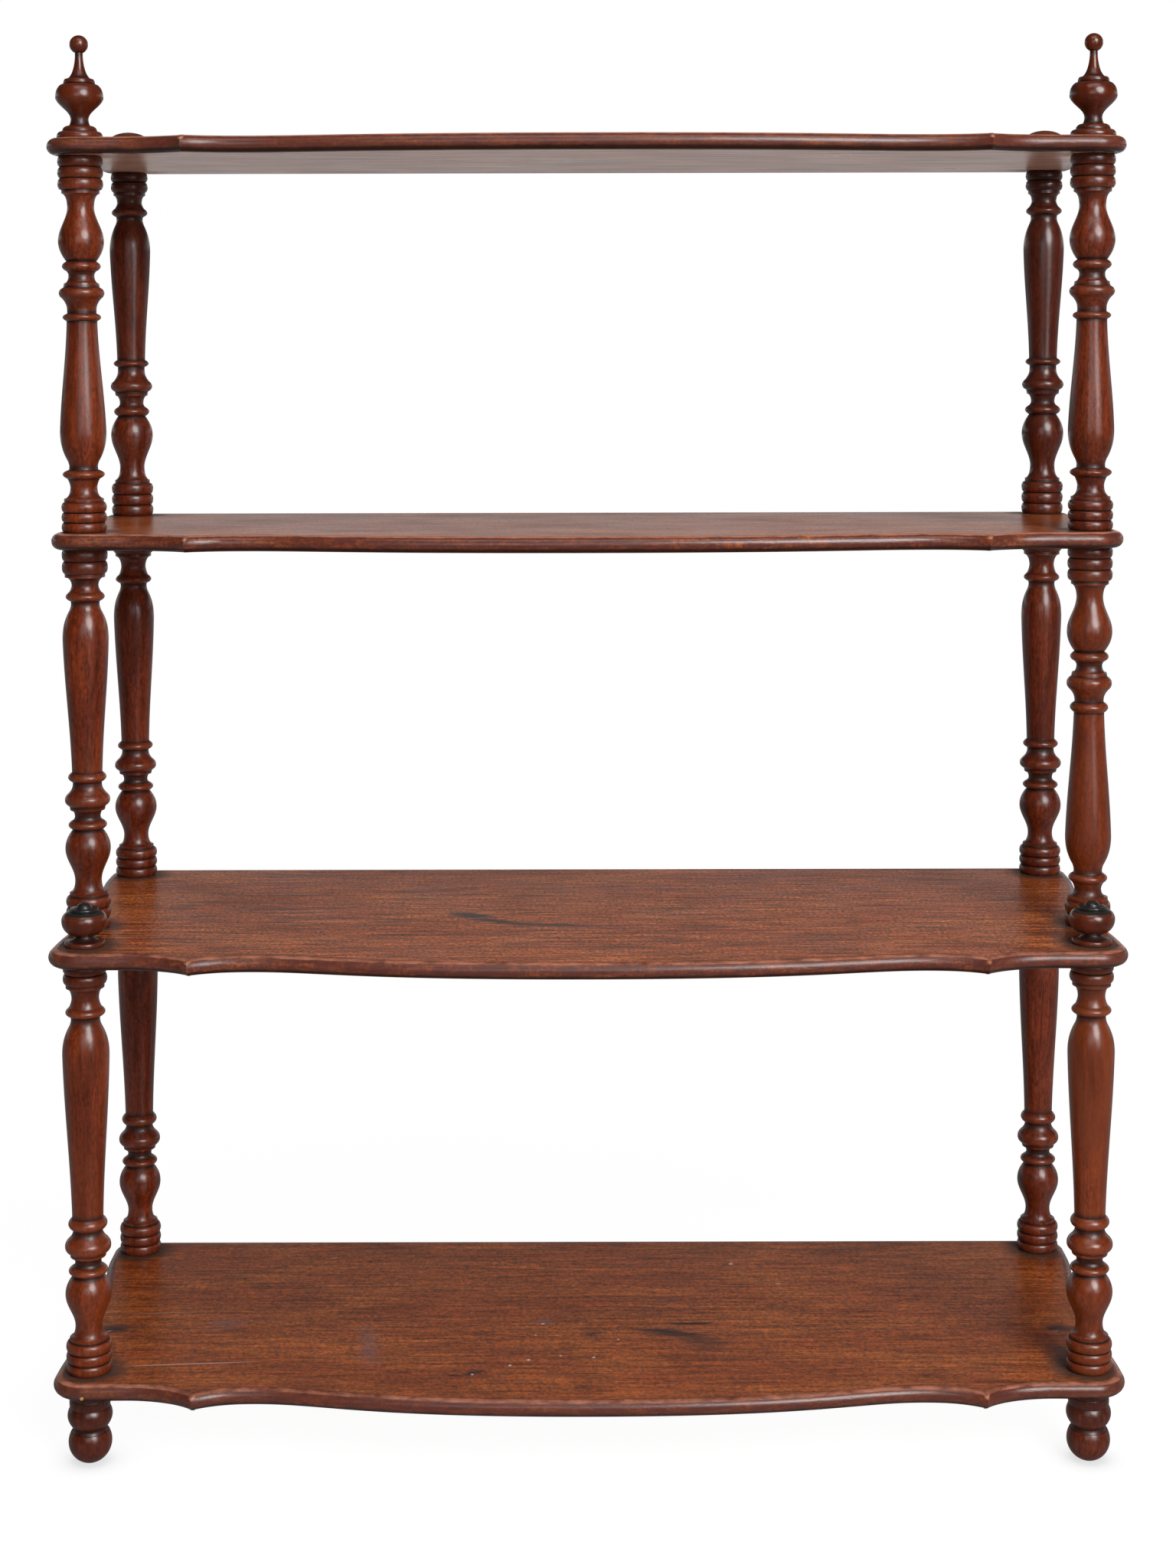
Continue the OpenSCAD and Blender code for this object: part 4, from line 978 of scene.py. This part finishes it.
def makeBoard(node, fx, fy, tip, z, holes, material, sheenSize):
    outline, cusp = boardOutline(fx, fy, tip)
    n, r, steps, holeSteps = len(outline), boardT / 2, board["edgeSteps"], board["holeSteps"]
    turns = np.radians(np.linspace(-90, 90, steps + 1))
    rings = [drawnIn(outline, r * (1 - math.cos(a))) for a in turns]
    levels = r + r * np.sin(turns)
    circles = [arc(hole, lathe["socketR"], -360 / holeSteps, 360 - 360 / holeSteps, holeSteps)
               for hole in holes]
    flat, triangles, become = flatFace(rings[0], drawnIn(outline, r + board["rimBand"]),
                                       circles)
    m = len(flat)
    points = np.concatenate(
        [np.column_stack([flat, np.full(m, level)]) for level in (0, boardT)]
        + [np.column_stack([ring, np.full(n, level)])
           for ring, level in zip(rings[1:-1], levels[1:-1])])
    faces = [tuple(t[::-1]) for t in triangles] + [tuple(m + t) for t in triangles]

    def ringIndex(j, i):
        if j in (0, steps):
            return become[i % n] + (m if j else 0)
        return 2 * m + (j - 1) * n + i % n

    faces += [(ringIndex(j, i), ringIndex(j, i + 1), ringIndex(j + 1, i + 1),
               ringIndex(j + 1, i)) for j in range(steps) for i in range(n)]
    for first in range(2 * n, 2 * n + len(circles) * holeSteps, holeSteps):
        for i in range(holeSteps):
            a, b = become[first + i], become[first + (i + 1) % holeSteps]
            faces.append((b, a, m + a, m + b))
    mesh = bpy.data.meshes.new(node)
    mesh.from_pydata([tuple(p) for p in (points + (0, 0, z)) * mm], [], faces)
    gap = np.concatenate([nearest(flat, rings[0])] * 2 + [np.zeros(n * (steps - 1))])
    storeOnPoints(mesh, boardLayers(points, gap, cusp, sheenSize))
    mesh.validate()
    mesh.shade_smooth()
    mesh.set_sharp_from_angle(angle=sharpAngle)
    mesh.materials.append(material)
    finishPiece("wood_" + node, mesh)


# Marks of age on the two lower boards. Each row is the kind, middle, half length and half
# width in millimetres, turn in degrees, strength, and the share that is full
markKinds = {
    "stain": {"colour": (0.018, 0.009, 0.008)},
    "knot": {"colour": (0.04, 0.016, 0.009), "sharp": True},
    "smudge": {"colour": (0.06, 0.021, 0.013)},
    "scuff": {"colour": (0.17, 0.095, 0.1)},
    "chip": {"colour": (0.42, 0.26, 0.21), "sharp": True},
    "speck": {"colour": (0.56, 0.44, 0.42), "sharp": True},
}
bottomMarks = [
    ("knot", (-429, -31), 20, 15, 8, 0.75, 0.3), ("smudge", (-412, -28), 26, 16, 0, 0.45, 0.2),
    ("stain", (-430, -32), 8, 6, 10, 0.85, 0.4), ("chip", (-434, -37), 6, 1.4, 35, 0.9, 0.4),
    ("chip", (-348, -110), 72, 1.4, 4.6, 1.0, 0.6), ("chip", (-391, 6), 42, 1.0, 3, 0.65, 0.5),
    ("scuff", (-196, -70), 66, 12, 97, 0.55, 0.2), ("scuff", (-330, -20), 30, 22, 20, 0.35, 0.2),
    ("knot", (424, -34), 18, 14, -6, 0.8, 0.3), ("stain", (422, -35), 7, 5, 0, 0.85, 0.4),
    ("chip", (420, -41), 5, 1.2, 12, 0.6, 0.4), ("smudge", (415, -96), 46, 15, 100, 0.65, 0.3),
    ("stain", (77, -44), 44, 10, -12, 0.84, 0.25), ("stain", (62, -38), 34, 6, -6, 0.7, 0.3),
    ("smudge", (104, -62), 36, 12, -16, 0.62, 0.2), ("stain", (94, -22), 26, 5, 2, 0.95, 0.4),
    ("smudge", (104, -78), 16, 8, 0, 0.55, 0.2), ("stain", (5, -46), 11, 7, 0, 0.8, 0.3),
    ("stain", (-295, 120), 8, 6, 5, 0.7, 0.3), ("stain", (-101, -130), 10, 8, 30, 0.85, 0.3),
    ("stain", (-116, -137), 6, 5, 0, 0.75, 0.3), ("stain", (-6, -160), 9, 3, 0, 0.6, 0.3),
    ("scuff", (-40, -16), 6, 11, 70, 0.7, 0.3), ("speck", (-42, -22), 2.5, 2.2, 0, 0.9, 0.4),
    ("stain", (255, -156), 5, 4, 0, 0.8, 0.3), ("stain", (243, -82), 4, 3, 0, 0.7, 0.3),
    ("chip", (-248, 144), 6, 1.4, 28, 0.8, 0.4), ("chip", (179, 74), 4, 2.0, 0, 1, 0.4),
    ("speck", (137, 126), 2.5, 3.4, 0, 0.9, 0.4), ("speck", (-53, -103), 2.1, 2.7, 0, 1, 0.4),
    ("speck", (-69, -115), 2.0, 2.8, 0, 1, 0.4), ("speck", (-25, -94), 1.7, 2.0, 0, 0.8, 0.4),
    ("speck", (4, -98), 2.0, 2.5, 0, 0.9, 0.4), ("speck", (-48, -48), 1.4, 1.7, 0, 0.8, 0.4),
    ("speck", (26, -58), 1.7, 2.1, 0, 0.8, 0.4), ("speck", (-101, -134), 1.8, 2.2, 0, 0.9, 0.4),
]
thirdMarks = [
    ("stain", (-106, -12), 30, 14, -30, 0.92, 0.4), ("stain", (-78, -38), 36, 9, -24, 0.92, 0.4),
    ("stain", (-36, -49), 40, 5, -4, 0.85, 0.4), ("smudge", (-20, -52), 60, 10, -2, 0.5, 0.2),
    ("smudge", (-371, 23), 20, 20, 0, 0.55, 0.3), ("stain", (388, -60), 30, 1.4, -8, 0.6, 0.4),
]
upperPair, lowerPair = [upperFront, backPlace], [lowerFront, backPlace]
for node, tier, front, places, wood, tone, marks in (
        ("top_shelf", "upper", upperFront, upperPair, boardWood, 1.2, []),
        ("second_shelf", "upper", upperFront, upperPair, glossyBoardWood, 1.4, []),
        ("third_shelf", "lower", lowerFront, [upperFront] + lowerPair, paleBoardWood, 1.38,
         thirdMarks),
        ("bottom_shelf", "lower", lowerFront, lowerPair, boardWood, 1.13, bottomMarks)):
    z = heights[node.split("_")[0]]
    material = makeBoardMaterial("boardMahogany_" + node, wood, tone, marks, z * mm, places)
    holes = [(sign * x, y) for x, y in places for sign in (-1, 1)]
    makeBoard(node, *front, tipX[tier], z, holes, material, arrisSheen[tier])
print("boards: four serpentine shelves")

# Dowels and the brass pin keep their CAD shapes
dowelWood = {
    "base": (0.42, 0.26, 0.13), "dark": (0.28, 0.15, 0.07), "grain": (500.0, 500.0, 18.0),
    "grainSpan": (0.35, 0.65), "gloss": 0.6, "relief": 0.2, "reliefDepth": 0.0003,
}
brassPin = {
    "base": (0.9, 0.56, 0.18), "tarnish": (0.42, 0.22, 0.07), "spots": (900.0,) * 3,
    "spotSpan": (0.4, 0.7), "metal": 0.6, "gloss": 0.3, "tarnishRough": 0.25,
}


def makeDowelMaterial(wood):
    material, tree = newMaterial("planedDowelWood")
    where = objectPlace(tree)
    grain = ramp(tree, noise(tree, where, wood["grain"], 4.0, 0.6), *wood["grainSpan"])
    colour = blendColour(tree, grain, wood["base"], wood["dark"])
    closeMaterial(tree, {"Base Color": colour, "Roughness": wood["gloss"], "Normal": bumped(
        tree, grain, wood["relief"], wood["reliefDepth"])})
    return material


def makeBrassMaterial(brass):
    material, tree = newMaterial("wornBrass")
    where = objectPlace(tree)
    tarnish = ramp(tree, noise(tree, where, brass["spots"], 4.0, 0.6), *brass["spotSpan"])
    colour = blendColour(tree, tarnish, brass["base"], brass["tarnish"])
    rough = maths(tree, "MULTIPLY_ADD", tarnish, brass["tarnishRough"], brass["gloss"])
    closeMaterial(tree, {"Base Color": colour, "Metallic": brass["metal"], "Roughness": rough})
    return material


def dressNode(name, material):
    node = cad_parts[name]
    node.data.materials.clear()
    node.data.materials.append(material)


plainDowel = makeDowelMaterial(dowelWood)
for tier in ("top", "second", "third", "bottom"):
    dressNode(tier + "_dowels", plainDowel)
dressNode("locking_pin", makeBrassMaterial(brassPin))
print("dowels and pin: dressed")
